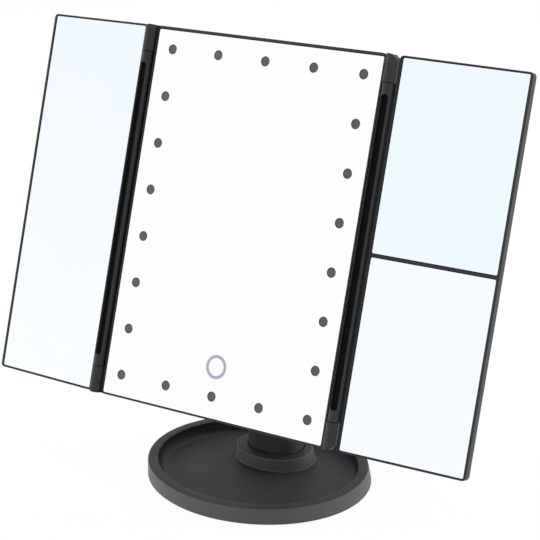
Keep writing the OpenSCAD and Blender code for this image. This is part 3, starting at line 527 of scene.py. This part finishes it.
@dataclass(frozen=True)
class ToneFinish(Finish):
    """A plain material with tone variation, softened edges and a fine grain."""

    colour: Colour
    roughness: float = 0.5
    metallic: float = 0.0
    grain: float = 1800.0
    hairlines: bool = False
    coat: float = 0.0
    edge_radius: float = 0.1
    relief: float = 0.00002

    def paint(self, nodes: Nodes, shader: Node) -> None:
        """Links tone to the colour, a fine height to the normal and both to the roughness.

        Args:
            nodes: the material's nodes.
            shader: its Principled BSDF.
        """
        tone = Effects.place(nodes, Effect.TONE, Colour=rgba(self.colour), Amount=0.08, Scale=60.0)
        edges = Effects.place(nodes, Effect.SOFT_EDGES, Radius=self.edge_radius * MM)
        if self.hairlines:
            marks = Effects.place(nodes, Effect.HAIRLINES, Scale=self.grain)
            lift = marks.outputs["Mask"]
        else:
            marks = Effects.place(nodes, Effect.MOULDED_GRAIN, Grain=self.grain)
            lift = marks.outputs["Speckle"]
        bump = nodes.add("ShaderNodeBump", {
            "Strength": 0.3, "Distance": self.relief,
            "Height": marks.outputs["Height"], "Normal": edges.outputs["Normal"]})
        nodes.fill(shader, {
            "Base Color": tone.outputs["Colour"], "Roughness": nodes.scaled(lift, 0.1, self.roughness),
            "Normal": bump.outputs[0], "Metallic": self.metallic, "Coat Weight": self.coat})


SHELL = MouldedPlastic("dark_satin_shell", (0.040, 0.040, 0.042), edge_radius=0.45, specular=0.15)
# Its sides colour is painted light on upright faces, and its hollow colour is painted shade on the hollow's
# wall.
BASE_SHELL = TrayPlastic("dark_base_shell", (0.026, 0.026, 0.028), roughness=0.52, edge_radius=0.5, dust=0.01,
                         specular=0.22, sides=(0.085, 0.085, 0.087), hollow=(0.008, 0.008, 0.009))
NECK_SHELL = MouldedPlastic("dark_neck_shell", (0.044, 0.044, 0.046), roughness=0.42, dust=0.01,
                            specular=0.25)
INNER_BLACK = MouldedPlastic("black_inner_plastic", (0.014, 0.014, 0.015), roughness=0.55, wear_and_highlight=0.1,
                             specular=0.25)
# Near-black strips in the wings' slots: painted shade where the slots are hollow.
SLOT_PAINTED_SHADE = MouldedPlastic("painted_shade_slot_strip", (0.006, 0.006, 0.0065), roughness=0.7, wear_and_highlight=0.0, dust=0.0,
                            specular=0.08)
CARRIER_WHITE = ToneFinish("white_carrier_plastic", (0.78, 0.78, 0.77), 0.45)
# Each glass's tints are partly its own slight tint and partly a painted reflection, which changes up the
# glass.
CENTRE_GLASS = MirrorGlass("silvered_centre_glass", (0.985, 0.99, 1.0), (0.975, 0.985, 1.0))
LEFT_GLASS = MirrorGlass("silvered_left_glass", (0.87, 0.93, 0.995), (0.95, 0.985, 1.0))
UPPER_GLASS = MirrorGlass("silvered_upper_glass", (0.865, 0.94, 0.995), (0.885, 0.96, 0.995))
LOWER_GLASS = MirrorGlass("silvered_lower_glass", (0.91, 0.96, 1.0), (0.925, 0.968, 1.0))
LENS = FrostedLens("smoky_light_window", (0.063, 0.061, 0.066), (0.032, 0.031, 0.035))
TOUCH_MARK = ToneFinish("frosted_touch_mark", (0.42, 0.42, 0.57), 0.5)
RUBBER = MouldedPlastic("non_slip_rubber", (0.012, 0.012, 0.012), 0.8, grain=1200.0, grain_depth=0.00008)
STEEL = ToneFinish("zinc_plated_steel", (0.56, 0.57, 0.58), 0.28, 1.0, 1400.0, True)
BRASS = ToneFinish("washer_brass", (0.62, 0.44, 0.2), 0.32, 1.0, 1400.0, True)
GREEN_BOARD = ToneFinish("green_solder_mask", (0.02, 0.16, 0.06), 0.35, coat=0.4)
WHITE_BOARD = ToneFinish("white_solder_mask", (0.7, 0.71, 0.68), 0.35, coat=0.3)
LED_RESIN = ToneFinish("led_resin", (0.75, 0.66, 0.3), 0.25, coat=0.5)
CELL_SLEEVE = ToneFinish("cell_sleeve", (0.05, 0.1, 0.14), 0.3, 0.4, 900.0, coat=0.6)
RED_WIRE = ToneFinish("red_wire_sleeve", (0.4, 0.02, 0.02), 0.45)

NODE_FINISH: dict[Finish, tuple[str, ...]] = {
    SHELL: ("centre_frame", "back_housing", "hinge_caps", "shaft_caps", "battery_door", "left_wing_frame",
            "left_wing_back", "right_wing_frame", "right_wing_back"),
    NECK_SHELL: ("neck_front", "neck_back"),
    BASE_SHELL: ("base_tray",),
    INNER_BLACK: ("base_cover", "tilt_bracket", "power_switch", "switch_knob"),
    # The slot strips put painted shade in the wings' slots.
    SLOT_PAINTED_SHADE: ("left_slot_strip", "right_slot_strip"),
    CARRIER_WHITE: ("mirror_carrier",),
    CENTRE_GLASS: ("centre_mirror",),
    LEFT_GLASS: ("left_wing_mirror",),
    UPPER_GLASS: ("right_upper_mirror",),
    LOWER_GLASS: ("right_lower_mirror",),
    TOUCH_MARK: ("touch_ring",),
    RUBBER: ("rubber_pad",),
    STEEL: ("base_screws", "foot_screws", "neck_screws", "housing_screws", "bracket_screws", "tilt_shaft",
            "tilt_nut", "board_screws", "usb_socket", "battery_springs", "battery_contacts",
            "left_hinge_pins", "right_hinge_pins"),
    BRASS: ("friction_washers",),
    GREEN_BOARD: ("control_board", "touch_sensor"),
    WHITE_BOARD: ("led_board",),
    LED_RESIN: ("leds",),
    CELL_SLEEVE: ("batteries",),
    RED_WIRE: ("wires",),
}


# ---- mesh building


def circle(radius: float, count: int) -> list[Pair]:
    """Returns evenly spaced points of a circle about the origin."""
    turn = (2 * math.pi * k / count for k in range(count))
    return [(radius * math.cos(a), radius * math.sin(a)) for a in turn]


def quarter_turn(steps: int, first: int = 0) -> Iterable[Pair]:
    """Goes through a quarter turn in steps.

    Args:
        steps: how many steps make the quarter turn.
        first: the first step that is given.

    Yields:
        Each step's cosine and sine.
    """
    for k in range(first, steps + 1):
        a = math.radians(90 * k / steps)
        yield math.cos(a), math.sin(a)


def oval(a: float, b: float, power: float, count: int, y: float = 0.0, z: float = 0.0) -> Ring:
    """Lays points on an oval.

    Args:
        a: half length along x.
        b: half length along y.
        power: 2 is an ellipse, more is squarer.
        count: how many points.
        y: the middle's y.
        z: the height.

    Returns:
        The points.
    """
    bend = 2 / power
    return [Vector((a * math.copysign(abs(c) ** bend, c), y + b * math.copysign(abs(s) ** bend, s), z))
            for c, s in circle(1.0, count)]


def skin(mesh: BMesh, rings: Sequence[Ring], close_ends: bool = True) -> None:
    """Joins rings of equal length with faces.

    Args:
        mesh: the mesh that takes the faces.
        rings: the rings in order, in millimetres.
        close_ends: whether the first and last ring get a face across them.
    """
    rows = [[mesh.verts.new(p * MM) for p in ring] for ring in rings]
    count = len(rings[0])
    for low, high in zip(rows, rows[1:]):
        for i in range(count):
            j = (i + 1) % count
            mesh.faces.new((low[i], low[j], high[j], high[i]))
    if close_ends:
        mesh.faces.new(list(reversed(rows[0])))
        mesh.faces.new(rows[-1])


def add_object(name: str, data: bpy.types.ID) -> bpy.types.Object:
    """Adds an object to the scene.

    Args:
        name: the object's name.
        data: its mesh, lamp or camera.

    Returns:
        The object.
    """
    made = bpy.data.objects.new(name, data)
    bpy.context.scene.collection.objects.link(made)
    return made


def smooth(data: bpy.types.Mesh, crease: float) -> None:
    """Shades a mesh smooth.

    Args:
        data: the mesh.
        crease: edges sharper than this many degrees stay sharp.
    """
    for face in data.polygons:
        face.use_smooth = True
    data.set_sharp_from_angle(angle=math.radians(crease))


def to_object(name: str, mesh: BMesh, finish: Finish, crease: float) -> bpy.types.Object:
    """Turns a bmesh into a shaded object.

    Args:
        name: the piece's name.
        mesh: its mesh, which is used up.
        finish: its finish.
        crease: edges sharper than this many degrees stay sharp.

    Returns:
        The new object, in the scene.
    """
    bmesh.ops.recalc_face_normals(mesh, faces=mesh.faces)
    data = bpy.data.meshes.new(name)
    mesh.to_mesh(data)
    mesh.free()
    smooth(data, crease)
    data.materials.append(finish.material())
    return add_object(name, data)


def cut(piece: bpy.types.Object, tool: BMesh, operation: str) -> None:
    """Cuts a piece with a closed mesh, or keeps what both share.

    Args:
        piece: the object to cut.
        tool: the cutting mesh, in metres, which is used up.
        operation: the Boolean modifier's operation.
    """
    data = bpy.data.meshes.new("cutter")
    bmesh.ops.recalc_face_normals(tool, faces=tool.faces)
    tool.to_mesh(data)
    tool.free()
    cutter = add_object("cutter", data)
    modifier = piece.modifiers.new("cut", "BOOLEAN")
    modifier.object, modifier.operation, modifier.solver = cutter, operation, "EXACT"
    bake_modifiers(piece)
    bpy.data.objects.remove(cutter)
    bpy.data.meshes.remove(data)


def bake_modifiers(piece: bpy.types.Object) -> None:
    """Puts the result of a piece's modifiers into its mesh.

    Args:
        piece: the object, whose old mesh is removed.
    """
    shape = piece.evaluated_get(bpy.context.evaluated_depsgraph_get())
    data = bpy.data.meshes.new_from_object(shape)
    piece.modifiers.clear()
    old, piece.data = piece.data, data
    name = old.name
    bpy.data.meshes.remove(old)
    data.name = name


def round_edges(piece: bpy.types.Object, width: float, segments: int = 2, sharper_than: float = 40.0) -> None:
    """Rounds a piece's sharp edges in its mesh.

    Args:
        piece: the object.
        width: the rounding's width in millimetres.
        segments: how many faces go across it.
        sharper_than: only edges sharper than this many degrees are rounded.
    """
    modifier = piece.modifiers.new("round", "BEVEL")
    modifier.width, modifier.segments = width * MM, segments
    modifier.limit_method, modifier.angle_limit = "ANGLE", math.radians(sharper_than)
    modifier.use_clamp_overlap = True
    bake_modifiers(piece)
    smooth(piece.data, sharper_than)


def block(low: Vector, high: Vector) -> BMesh:
    """Makes a box mesh.

    Args:
        low: the corner with the least x, y and z, in millimetres.
        high: the corner across from it.

    Returns:
        The box, in metres.
    """
    mesh = bmesh.new()
    for v in bmesh.ops.create_cube(mesh, size=1.0)["verts"]:
        v.co = Vector((low[i] + (v.co[i] + 0.5) * (high[i] - low[i]) for i in range(3))) * MM
    return mesh


def tube(mesh: BMesh, path: Sequence[Vector], radius: float, sides: int = 10) -> None:
    """Adds a closed round wire along a path.

    Args:
        mesh: the mesh that takes the wire.
        path: the wire's middle line, in millimetres.
        radius: the wire's radius in millimetres.
        sides: how many faces go round it.
    """
    rings, side = [], None
    for i, p in enumerate(path):
        along = (path[min(i + 1, len(path) - 1)] - path[max(i - 1, 0)]).normalized()
        side = (along.orthogonal() if side is None else side - along * side.dot(along)).normalized()
        up = along.cross(side)
        rings.append([p + u * side + v * up for u, v in circle(radius, sides)])
    skin(mesh, rings)


# ---- sub-assemblies


@dataclass
class Head:
    """The tilting head's own frame."""

    tilt: float = 24.4
    pivot: Point = (0.0, 14.8, 126.6)
    mirror_ahead: float = 27.2
    pivot_below: float = 30.4

    def place(self) -> Matrix:
        """Returns the matrix from the head's frame to the part's frame, both in millimetres."""
        return (Matrix.Translation(self.pivot) @ Matrix.Rotation(math.radians(-self.tilt), 4, "X")
                @ Matrix.Translation((0.0, -self.mirror_ahead, self.pivot_below)))

    def put(self, piece: bpy.types.Object) -> None:
        """Moves a piece that was made in the head's frame to its place, and lets it ride on the head.

        Args:
            piece: the object, made in the head's frame.
        """
        turn = self.place()
        turn.translation *= MM
        piece.data.transform(turn)
        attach(piece, Body.HEAD.value)


@dataclass
class TrayBase:
    """The oval tray base with its rim, hollow and socket boss."""

    foot: Pair = (75.5, 57.8)
    rim: Pair = (74.5, 56.8)
    height: float = 10.8
    rim_width: float = 6.6
    rim_round: float = 0.9
    inner_round: float = 0.5
    dish_width: float = 6.0
    floor: float = 3.4
    floor_steps: tuple[float, ...] = (0.0, 2.0, 12.0, 28.0)
    dish_angles: range = range(8, 91, 6)
    skirt_low: float = 0.45
    skirt_wall: float = 2.6
    skirt_round: tuple[Pair, ...] = ((0.3, 0.0), (0.05, 0.25))
    hollow_top: float = 2.2
    boss: Pair = (26.0, 17.5)
    boss_top: float = 11.7
    boss_middle: float = 20.0
    boss_power: float = 2.2
    boss_round: float = 1.0
    boss_flare: float = 1.0
    flare_round: float = 0.9
    boss_sink: float = 0.6
    socket: Pair = (19.1, 11.1)
    socket_middle: float = 21.5
    socket_power: float = 2.8
    socket_floor: float = 5.4
    socket_lip: tuple[Pair, ...] = ((0.5, 0.0), (0.3, 0.05), (0.1, 0.2), (0.0, 0.5))
    segments: int = 240

    def build(self) -> None:
        """Builds the tray with its boss and lets it stand for the solid one."""
        mesh = bmesh.new()
        skin(mesh, self._shell_rings())
        skin(mesh, self._boss_rings())
        tray = to_object("tray_shell", mesh, BASE_SHELL, 50.0)
        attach(tray, Body.STAND.value)
        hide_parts("base_tray")

    def _ellipse(self, inset: float, z: float, of: Pair | None = None) -> Ring:
        """Returns an ellipse inside the rim's, or inside another one."""
        a, b = of or self.rim
        return oval(a - inset, b - inset, 2.0, self.segments, z=z)

    def _shell_rings(self) -> list[Ring]:
        """Lays the shell's rings from under the floor, round the outside and down into the hollow.

        Returns:
            The rings in order.
        """
        rings = [self._ellipse(self.skirt_wall, z, self.foot) for z in (self.hollow_top, self.skirt_low)]
        rings += [self._ellipse(inset, self.skirt_low + rise, self.foot) for inset, rise in self.skirt_round]
        for c, s in quarter_turn(6):
            rings.append(self._ellipse(self.rim_round * (1 - c), self.height + self.rim_round * (s - 1)))
        flat = self.rim_width - self.inner_round
        rings += [self._ellipse(inset, self.height) for inset in ((self.rim_round + flat) / 2, flat)]
        for c, s in quarter_turn(3, first=1):
            rings.append(self._ellipse(flat + self.inner_round * s, self.height - self.inner_round * (1 - c)))
        wall = self.height - self.floor - self.inner_round
        for a in map(math.radians, self.dish_angles):
            rings.append(self._ellipse(self.rim_width + self.dish_width * (1 - math.cos(a)),
                                       self.floor + wall * (1 - math.sin(a))))
        floor_edge = self.rim_width + self.dish_width
        rings += [self._ellipse(floor_edge + step, self.floor) for step in self.floor_steps]
        return rings

    def _boss_oval(self, grow: float, z: float) -> Ring:
        """Returns the boss's outline, grown outwards, at a height."""
        a, b = self.boss
        return oval(a + grow, b + grow, self.boss_power, self.segments, self.boss_middle, z)

    def _socket_oval(self, grow: float, z: float) -> Ring:
        """Returns the socket's outline, grown outwards, at a height."""
        a, b = self.socket
        return oval(a + grow, b + grow, self.socket_power, self.segments, self.socket_middle, z)

    def _boss_rings(self) -> list[Ring]:
        """Lays the boss's rings from its flared foot over its rim and down into the socket.

        Returns:
            The rings in order.
        """
        rings = [self._boss_oval(self.boss_flare + self.flare_round, self.floor - self.boss_sink)]
        for c, s in quarter_turn(4):
            rings.append(self._boss_oval(self.boss_flare + self.flare_round * (1 - s),
                                         self.floor + self.flare_round * (1 - c)))
        for c, s in quarter_turn(6):
            inset, drop = self.boss_round * (1 - c), self.boss_round * (1 - s)
            rings.append(self._boss_oval(-inset, self.boss_top - drop))
        rings += [self._socket_oval(grow, self.boss_top - drop) for grow, drop in self.socket_lip]
        rings.append(self._socket_oval(0.0, self.socket_floor))
        return rings


@dataclass
class Neck:
    """The neck's front and rear shells with the tilt barrel on top."""

    foot: Pair = (18.5, 10.5)
    top: Pair = (14.5, 6.4)
    foot_middle: float = 21.5
    power: float = 2.8
    foot_z: float = 5.5
    boss_top: float = 11.7
    barrel_radius: float = 7.0
    barrel_length: float = 30.0
    shaft_radius: float = 2.05
    seam_ahead: float = 2.5
    seam_gap: float = 0.12
    top_drop: float = 2.0
    back_rise: float = 1.5
    back_drop: float = 5.0
    block_margin: float = 5.0
    block_depth: float = 52.5
    screw_shares: tuple[float, ...] = (0.15, 0.5, 0.85)
    screw_head: float = 2.4
    bore_start: float = 2.0
    bore_length: float = 21.0
    overrun: float = 1.0
    edge_round: float = 0.25
    segments: int = 112
    barrel_segments: int = 96
    bore_segments: int = 48
    steps: int = 36

    def build(self, head: Head) -> None:
        """Builds both shells.

        Args:
            head: gives the tilt axis that the barrel lies on.
        """
        back_low = self.boss_top + self.back_rise
        back_high = head.pivot[2] - self.barrel_radius - self.back_drop
        front = self._shell("neck_front_shell", head)
        cut(front, self._behind_seam(head, back_low, back_high, 0.0), "DIFFERENCE")
        self._add_barrel(front, head)
        back = self._shell("neck_back_shell", head)
        cut(back, self._behind_seam(head, back_low, back_high, self.seam_gap), "INTERSECT")
        for share in self.screw_shares:
            z = back_low + share * (back_high - back_low)
            bore = bmesh.new()
            y = self._seam(head, z) + self.bore_start
            skin(bore, [self._bore_ring(y + step, z) for step in (0.0, self.bore_length)])
            cut(back, bore, "DIFFERENCE")
        for piece, node in ((front, "neck_front"), (back, "neck_back")):
            round_edges(piece, self.edge_round)
            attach(piece, Body.STAND.value)
            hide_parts(node)

    def _shell(self, name: str, head: Head) -> bpy.types.Object:
        """Builds the neck's whole outer form as one closed piece.

        Args:
            name: the piece's name.
            head: gives the tilt axis that the neck leans to.

        Returns:
            The piece.
        """
        mesh = bmesh.new()
        rise = self._top(head) - self.boss_top
        heights = [self.foot_z] + [self.boss_top + rise * i / self.steps for i in range(self.steps + 1)]
        skin(mesh, [self._ring(head, z) for z in heights])
        return to_object(name, mesh, NECK_SHELL, 40.0)

    def _top(self, head: Head) -> float:
        """Returns the height at which the neck ends inside its barrel."""
        return head.pivot[2] - self.top_drop

    def _ring(self, head: Head, z: float) -> Ring:
        """Lays the neck's outline at a height.

        Args:
            head: gives the tilt axis that the neck leans to.
            z: the height.

        Returns:
            The outline's points.
        """
        t = min(1.0, max(0.0, (z - self.boss_top) / (self._top(head) - self.boss_top)))
        ease = math.sin(math.radians(90 * t))
        half = [f + (u - f) * ease for f, u in zip(self.foot, self.top)]
        y = self.foot_middle + (head.pivot[1] - self.foot_middle) * (1 - math.cos(math.pi * t)) / 2
        return oval(half[0], half[1], self.power, self.segments, y, z)

    def _lean(self, head: Head) -> float:
        """Returns the seam's lean from upright, in radians."""
        return math.atan((self.foot_middle - head.pivot[1]) / (self._top(head) - self.foot_z))

    def _seam(self, head: Head, z: float) -> float:
        """Returns how far back the seam lies at a height."""
        return self.foot_middle + self.seam_ahead - (z - self.foot_z) * math.tan(self._lean(head))

    def _behind_seam(self, head: Head, low: float, high: float, gap: float) -> BMesh:
        """Makes a block that holds everything behind the seam.

        Args:
            head: gives the tilt axis that the neck leans to.
            low: the block's lower end.
            high: its upper end.
            gap: how far it stays clear of the seam and of both ends.

        Returns:
            The block.
        """
        mesh = bmesh.new()
        half, back = self.foot[0] + self.block_margin, self.foot_middle + self.block_depth
        rows = []
        for z in (low + gap, high - gap):
            seam = self._seam(head, z) + gap
            rows.append([Vector((-half, seam, z)), Vector((half, seam, z)), Vector((half, back, z)),
                         Vector((-half, back, z))])
        skin(mesh, rows)
        return mesh

    def _bore_ring(self, y: float, z: float) -> Ring:
        """Returns one end of a screw's counterbore."""
        return [Vector((u, y, z + v)) for u, v in circle(self.screw_head, self.bore_segments)]

    def _add_barrel(self, front: bpy.types.Object, head: Head) -> None:
        """Joins the bored barrel to the front shell.

        Args:
            front: the front shell.
            head: gives the axis of the barrel.
        """
        half = self.barrel_length / 2
        for radius, reach, operation in ((self.barrel_radius, half, "UNION"),
                                         (self.shaft_radius, half + self.overrun, "DIFFERENCE")):
            tool = bmesh.new()
            skin(tool, [self._disc(head, x, radius) for x in (-reach, reach)])
            cut(front, tool, operation)

    def _disc(self, head: Head, x: float, radius: float) -> Ring:
        """Returns a circle about the tilt axis."""
        _, y, z = head.pivot
        return [Vector((x, y + u, z + v)) for u, v in circle(radius, self.barrel_segments)]


@dataclass
class LightRow:
    """The round light windows near the edge of the centre glass."""

    DISC_MAP = "disc"

    half_width: float = 68.8
    half_height: float = 101.3
    rise: float = 0.3
    columns: int = 5
    rows: int = 8
    radius: float = 3.03
    depth: float = 3.4
    segments: int = 40
    profile: tuple[Pair, ...] = (
        (1.0, 0.14), (0.965, 0.04), (0.92, 0.02), (0.86, 0.16), (0.8, 0.2), (0.5, 0.15), (0.2, 0.12))

    def build(self, head: Head) -> None:
        """Builds every window as a shallow, rimmed disc and lets them stand for the solid ones.

        Args:
            head: carries the windows.
        """
        mesh = bmesh.new()
        discs = mesh.loops.layers.uv.new(self.DISC_MAP)
        for x, z in self._spots():
            first = len(mesh.faces)
            rings = [self._circle(x, z, 1.0, self.depth)]
            rings += [self._circle(x, z, share, y) for share, y in self.profile]
            skin(mesh, rings)
            mesh.faces.ensure_lookup_table()
            for face in mesh.faces[first:]:
                for loop in face.loops:
                    p = loop.vert.co / MM
                    loop[discs].uv = [0.5 + off / (2 * self.radius) for off in (p.x - x, p.z - z)]
        piece = to_object("light_windows", mesh, LENS, 60.0)
        head.put(piece)
        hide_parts("led_lenses")

    def _spots(self) -> Iterable[Pair]:
        """Finds the windows' places.

        Yields:
            Each window's middle in the head's frame.
        """
        for i in range(self.columns):
            x = 2 * self.half_width * i / (self.columns - 1) - self.half_width
            for side in (-1, 1):
                yield x, self.rise + side * self.half_height
        for i in range(1, self.rows - 1):
            z = self.rise + 2 * self.half_height * i / (self.rows - 1) - self.half_height
            for side in (-1, 1):
                yield side * self.half_width, z

    def _circle(self, x: float, z: float, share: float, y: float) -> Ring:
        """Returns a circle of a window at a depth."""
        return [Vector((x + u, y, z + v)) for u, v in circle(share * self.radius, self.segments)]


@dataclass
class HingeWashers:
    """The thin washers on the hinge pins, between each end knuckle and the spine."""

    axis: Pair = (86.6, -1.0)
    gap: Pair = (98.4, 98.8)
    clearance: float = 0.05
    outer: float = 3.0
    bore: float = 1.3
    weld: float = 0.001
    segments: int = 48

    def build(self, head: Head) -> None:
        """Builds the four washers as one piece that rides on the head.

        Args:
            head: carries the washers.
        """
        mesh = bmesh.new()
        low, high = self.gap[0] + self.clearance, self.gap[1] - self.clearance
        for x in (-self.axis[0], self.axis[0]):
            for z0, z1 in ((low, high), (-high, -low)):
                corners = ((z0, self.bore), (z0, self.outer), (z1, self.outer), (z1, self.bore))
                rings = [self._circle(x, z, radius) for z, radius in corners]
                skin(mesh, rings + rings[:1], close_ends=False)
        bmesh.ops.remove_doubles(mesh, verts=mesh.verts, dist=self.weld * MM)
        washers = to_object("hinge_washers", mesh, INNER_BLACK, 40.0)
        head.put(washers)

    def _circle(self, x: float, z: float, radius: float) -> Ring:
        """Returns a circle about one hinge axis."""
        return [Vector((x + u, self.axis[1] + v, z)) for u, v in circle(radius, self.segments)]


@dataclass
class BatteryBay:
    """The coil springs of the battery bay."""

    width: float = 52.0
    middle: float = 40.0
    cell_depth: float = 11.75
    pitch: float = 11.2
    cells: int = 4
    spring_length: float = 5.75
    wire_radius: float = 0.28
    turns: float = 4.5
    steps_per_turn: int = 28
    wide: float = 3.2
    taper: float = 1.2
    plate_half: float = 4.0
    plate_thick: float = 0.4
    plate_round: float = 0.1

    def build(self, head: Head) -> None:
        """Builds a conical coil and its plate for each cell.

        Args:
            head: carries the springs.
        """
        mesh = bmesh.new()
        for i in range(self.cells):
            side = 1 if i % 2 == 0 else -1
            z = self.middle + (i - (self.cells - 1) / 2) * self.pitch
            tube(mesh, list(self._coil(side, z)), self.wire_radius)
            wall = -side * self.width / 2
            inner = wall + side * self.plate_thick
            plate = block(Vector((min(wall, inner), self.cell_depth - self.plate_half, z - self.plate_half)),
                          Vector((max(wall, inner), self.cell_depth + self.plate_half, z + self.plate_half)))
            bmesh.ops.bevel(plate, geom=plate.edges, offset=self.plate_round * MM, segments=2, affect="EDGES")
            data = bpy.data.meshes.new("plate")
            plate.to_mesh(data)
            plate.free()
            mesh.from_mesh(data)
            bpy.data.meshes.remove(data)
        springs = to_object("coil_springs", mesh, STEEL, 50.0)
        head.put(springs)
        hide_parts("battery_springs")

    def _coil(self, side: int, z: float) -> Iterable[Vector]:
        """Winds one coil from its plate to its cell.

        Args:
            side: 1 for a coil on the wall at lower x, -1 for the other wall.
            z: the cell's height.

        Yields:
            The points of the wire's middle line.
        """
        start = -self.width / 2 + self.plate_thick + self.wire_radius
        length = self.spring_length - self.plate_thick - 2 * self.wire_radius
        steps = int(self.turns * self.steps_per_turn)
        for k in range(steps + 1):
            t = k / steps
            radius, a = self.wide - self.taper * t, 2 * math.pi * self.turns * t
            y, rise = self.cell_depth + radius * math.cos(a), radius * math.sin(a)
            yield Vector((side * (start + length * t), y, z + rise))


@dataclass(frozen=True)
class Softbox:
    """A square lamp that looks at a point, in metres and watts."""

    name: str
    at: Point
    to: Point
    size: float
    power: float

    def build(self) -> None:
        """Adds the lamp, which is neither seen nor mirrored itself."""
        lamp = bpy.data.lights.new(self.name, "AREA")
        lamp.shape, lamp.size, lamp.energy = "SQUARE", self.size, self.power
        light = add_object(self.name, lamp)
        light.visible_camera = light.visible_glossy = False
        light.location = self.at
        light.rotation_euler = (Vector(self.to) - Vector(self.at)).to_track_quat("-Z", "Y").to_euler()


@dataclass
class Studio:
    """Camera, soft lights, pale floor and white surroundings."""

    camera_at: Point = (674.4, -890.8, 620.0)
    azimuth: float = 36.306
    elevation: float = 23.4
    roll: float = -4.993
    sensor: float = 36.0
    focal: float = 134.997
    shift: Pair = (0.00674, 0.00728)
    clip: Pair = (0.05, 20.0)
    floor_size: float = 6.0
    floor_tone: Colour = (0.88, 0.88, 0.88)
    floor_glow: float = 0.6
    seen_glow: float = 0.35
    surround: Colour = (0.42, 0.43, 0.44)
    surround_strength: float = 0.75
    lamps: tuple[Softbox, ...] = (
        Softbox("left_softbox", (-1.23, -0.57, 0.46), (0.0, 0.0, 0.14), 1.0, 18.0),
        Softbox("right_softbox", (1.28, 0.52, 0.45), (0.0, 0.0, 0.08), 1.0, 16.0),
        Softbox("top_softbox", (0.1, 0.3, 1.9), (0.0, 0.0, 0.15), 0.9, 10.0),
        Softbox("rear_softbox", (0.3, 1.2, 1.5), (0.0, 0.0, 0.15), 1.0, 16.0),
    )

    def build(self) -> None:
        """Sets up everything that isn't the part."""
        self._camera()
        self._world()
        self._floor()
        for lamp in self.lamps:
            lamp.build()
        bpy.context.scene.view_settings.view_transform = "Standard"

    def _camera(self) -> None:
        """Places the camera at the photograph's viewpoint."""
        lens = bpy.data.cameras.new("photo_camera")
        lens.sensor_width, lens.lens = self.sensor, self.focal
        lens.shift_x, lens.shift_y = self.shift
        lens.clip_start, lens.clip_end = self.clip
        camera = add_object("photo_camera", lens)
        turn = (Matrix.Rotation(math.radians(self.azimuth), 4, "Z")
                @ Matrix.Rotation(math.radians(90 - self.elevation), 4, "X")
                @ Matrix.Rotation(math.radians(self.roll), 4, "Z"))
        camera.matrix_world = Matrix.Translation(Vector(self.camera_at) * MM) @ turn
        bpy.context.scene.camera = camera

    def _world(self) -> None:
        """Makes the world white where it is seen or mirrored, and plain soft light elsewhere."""
        world = bpy.data.worlds.new("studio_world")
        nodes = fresh_nodes(world)
        seen = self._seen(nodes)
        lit, white = (
            nodes.add("ShaderNodeBackground", {"Color": rgba(colour), "Strength": strength}).outputs[0]
            for colour, strength in ((self.surround, self.surround_strength), (WHITE, 1.0)))
        both = nodes.add("ShaderNodeMixShader", {0: seen, 1: lit, 2: white})
        nodes.add("ShaderNodeOutputWorld", {"Surface": both.outputs[0]})
        bpy.context.scene.world = world

    @staticmethod
    def _seen(nodes: Nodes) -> Socket:
        """Picks out camera rays and rays off or through shiny surfaces.

        Args:
            nodes: the material's or world's nodes.

        Returns:
            1 for those rays, else 0.
        """
        path = nodes.add("ShaderNodeLightPath")
        mirrored = nodes.math("MAXIMUM", path.outputs["Is Glossy Ray"], path.outputs["Is Transmission Ray"])
        return nodes.math("MAXIMUM", path.outputs["Is Camera Ray"], mirrored)

    def _floor(self) -> None:
        """Lays a pale floor that keeps a light shadow."""
        mesh = bmesh.new()
        bmesh.ops.create_grid(mesh, x_segments=2, y_segments=2, size=self.floor_size / 2)
        data = bpy.data.meshes.new("studio_floor")
        mesh.to_mesh(data)
        mesh.free()
        material = bpy.data.materials.new("pale_floor")
        nodes = fresh_nodes(material)
        matt = nodes.add("ShaderNodeBsdfDiffuse", {"Color": rgba(self.floor_tone)})
        white = nodes.add("ShaderNodeEmission", {"Color": rgba(WHITE), "Strength": 1.0})
        share = nodes.scaled(self._seen(nodes), self.seen_glow, self.floor_glow)
        both = nodes.add("ShaderNodeMixShader", {0: share, 1: matt.outputs[0], 2: white.outputs[0]})
        nodes.add("ShaderNodeOutputMaterial", {"Surface": both.outputs[0]})
        data.materials.append(material)
        floor = add_object("studio_floor", data)


@dataclass
class VanityMirror:
    """The whole mirror: dresses its solids and builds its modelled pieces."""

    head: Head = field(default_factory=Head)
    tray: TrayBase = field(default_factory=TrayBase)
    neck: Neck = field(default_factory=Neck)
    lights: LightRow = field(default_factory=LightRow)
    washers: HingeWashers = field(default_factory=HingeWashers)
    bay: BatteryBay = field(default_factory=BatteryBay)

    def dress_nodes(self) -> None:
        """Gives each solid its finish."""
        for finish, names in NODE_FINISH.items():
            for name in names:
                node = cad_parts[name]
                node.data.materials.clear()
                node.data.materials.append(finish.material())
                log.info("dressed %s in %s", name, finish.name)

    def build(self) -> None:
        """Dresses the solids and builds each modelled piece in turn."""
        self.dress_nodes()
        steps: list[tuple[str, Callable[[], None]]] = [
            ("tray", self.tray.build),
            ("neck", lambda: self.neck.build(self.head)),
            ("light windows", lambda: self.lights.build(self.head)),
            ("hinge washers", lambda: self.washers.build(self.head)),
            ("battery springs", lambda: self.bay.build(self.head)),
        ]
        for label, step in steps:
            step()
            log.info("built %s", label)


def main() -> None:
    """Builds the studio and the mirror."""
    logging.basicConfig(level=logging.INFO, format="%(name)s: %(message)s")
    Studio().build()
    log.info("built studio")
    VanityMirror().build()


if __name__ == "__main__":
    main()
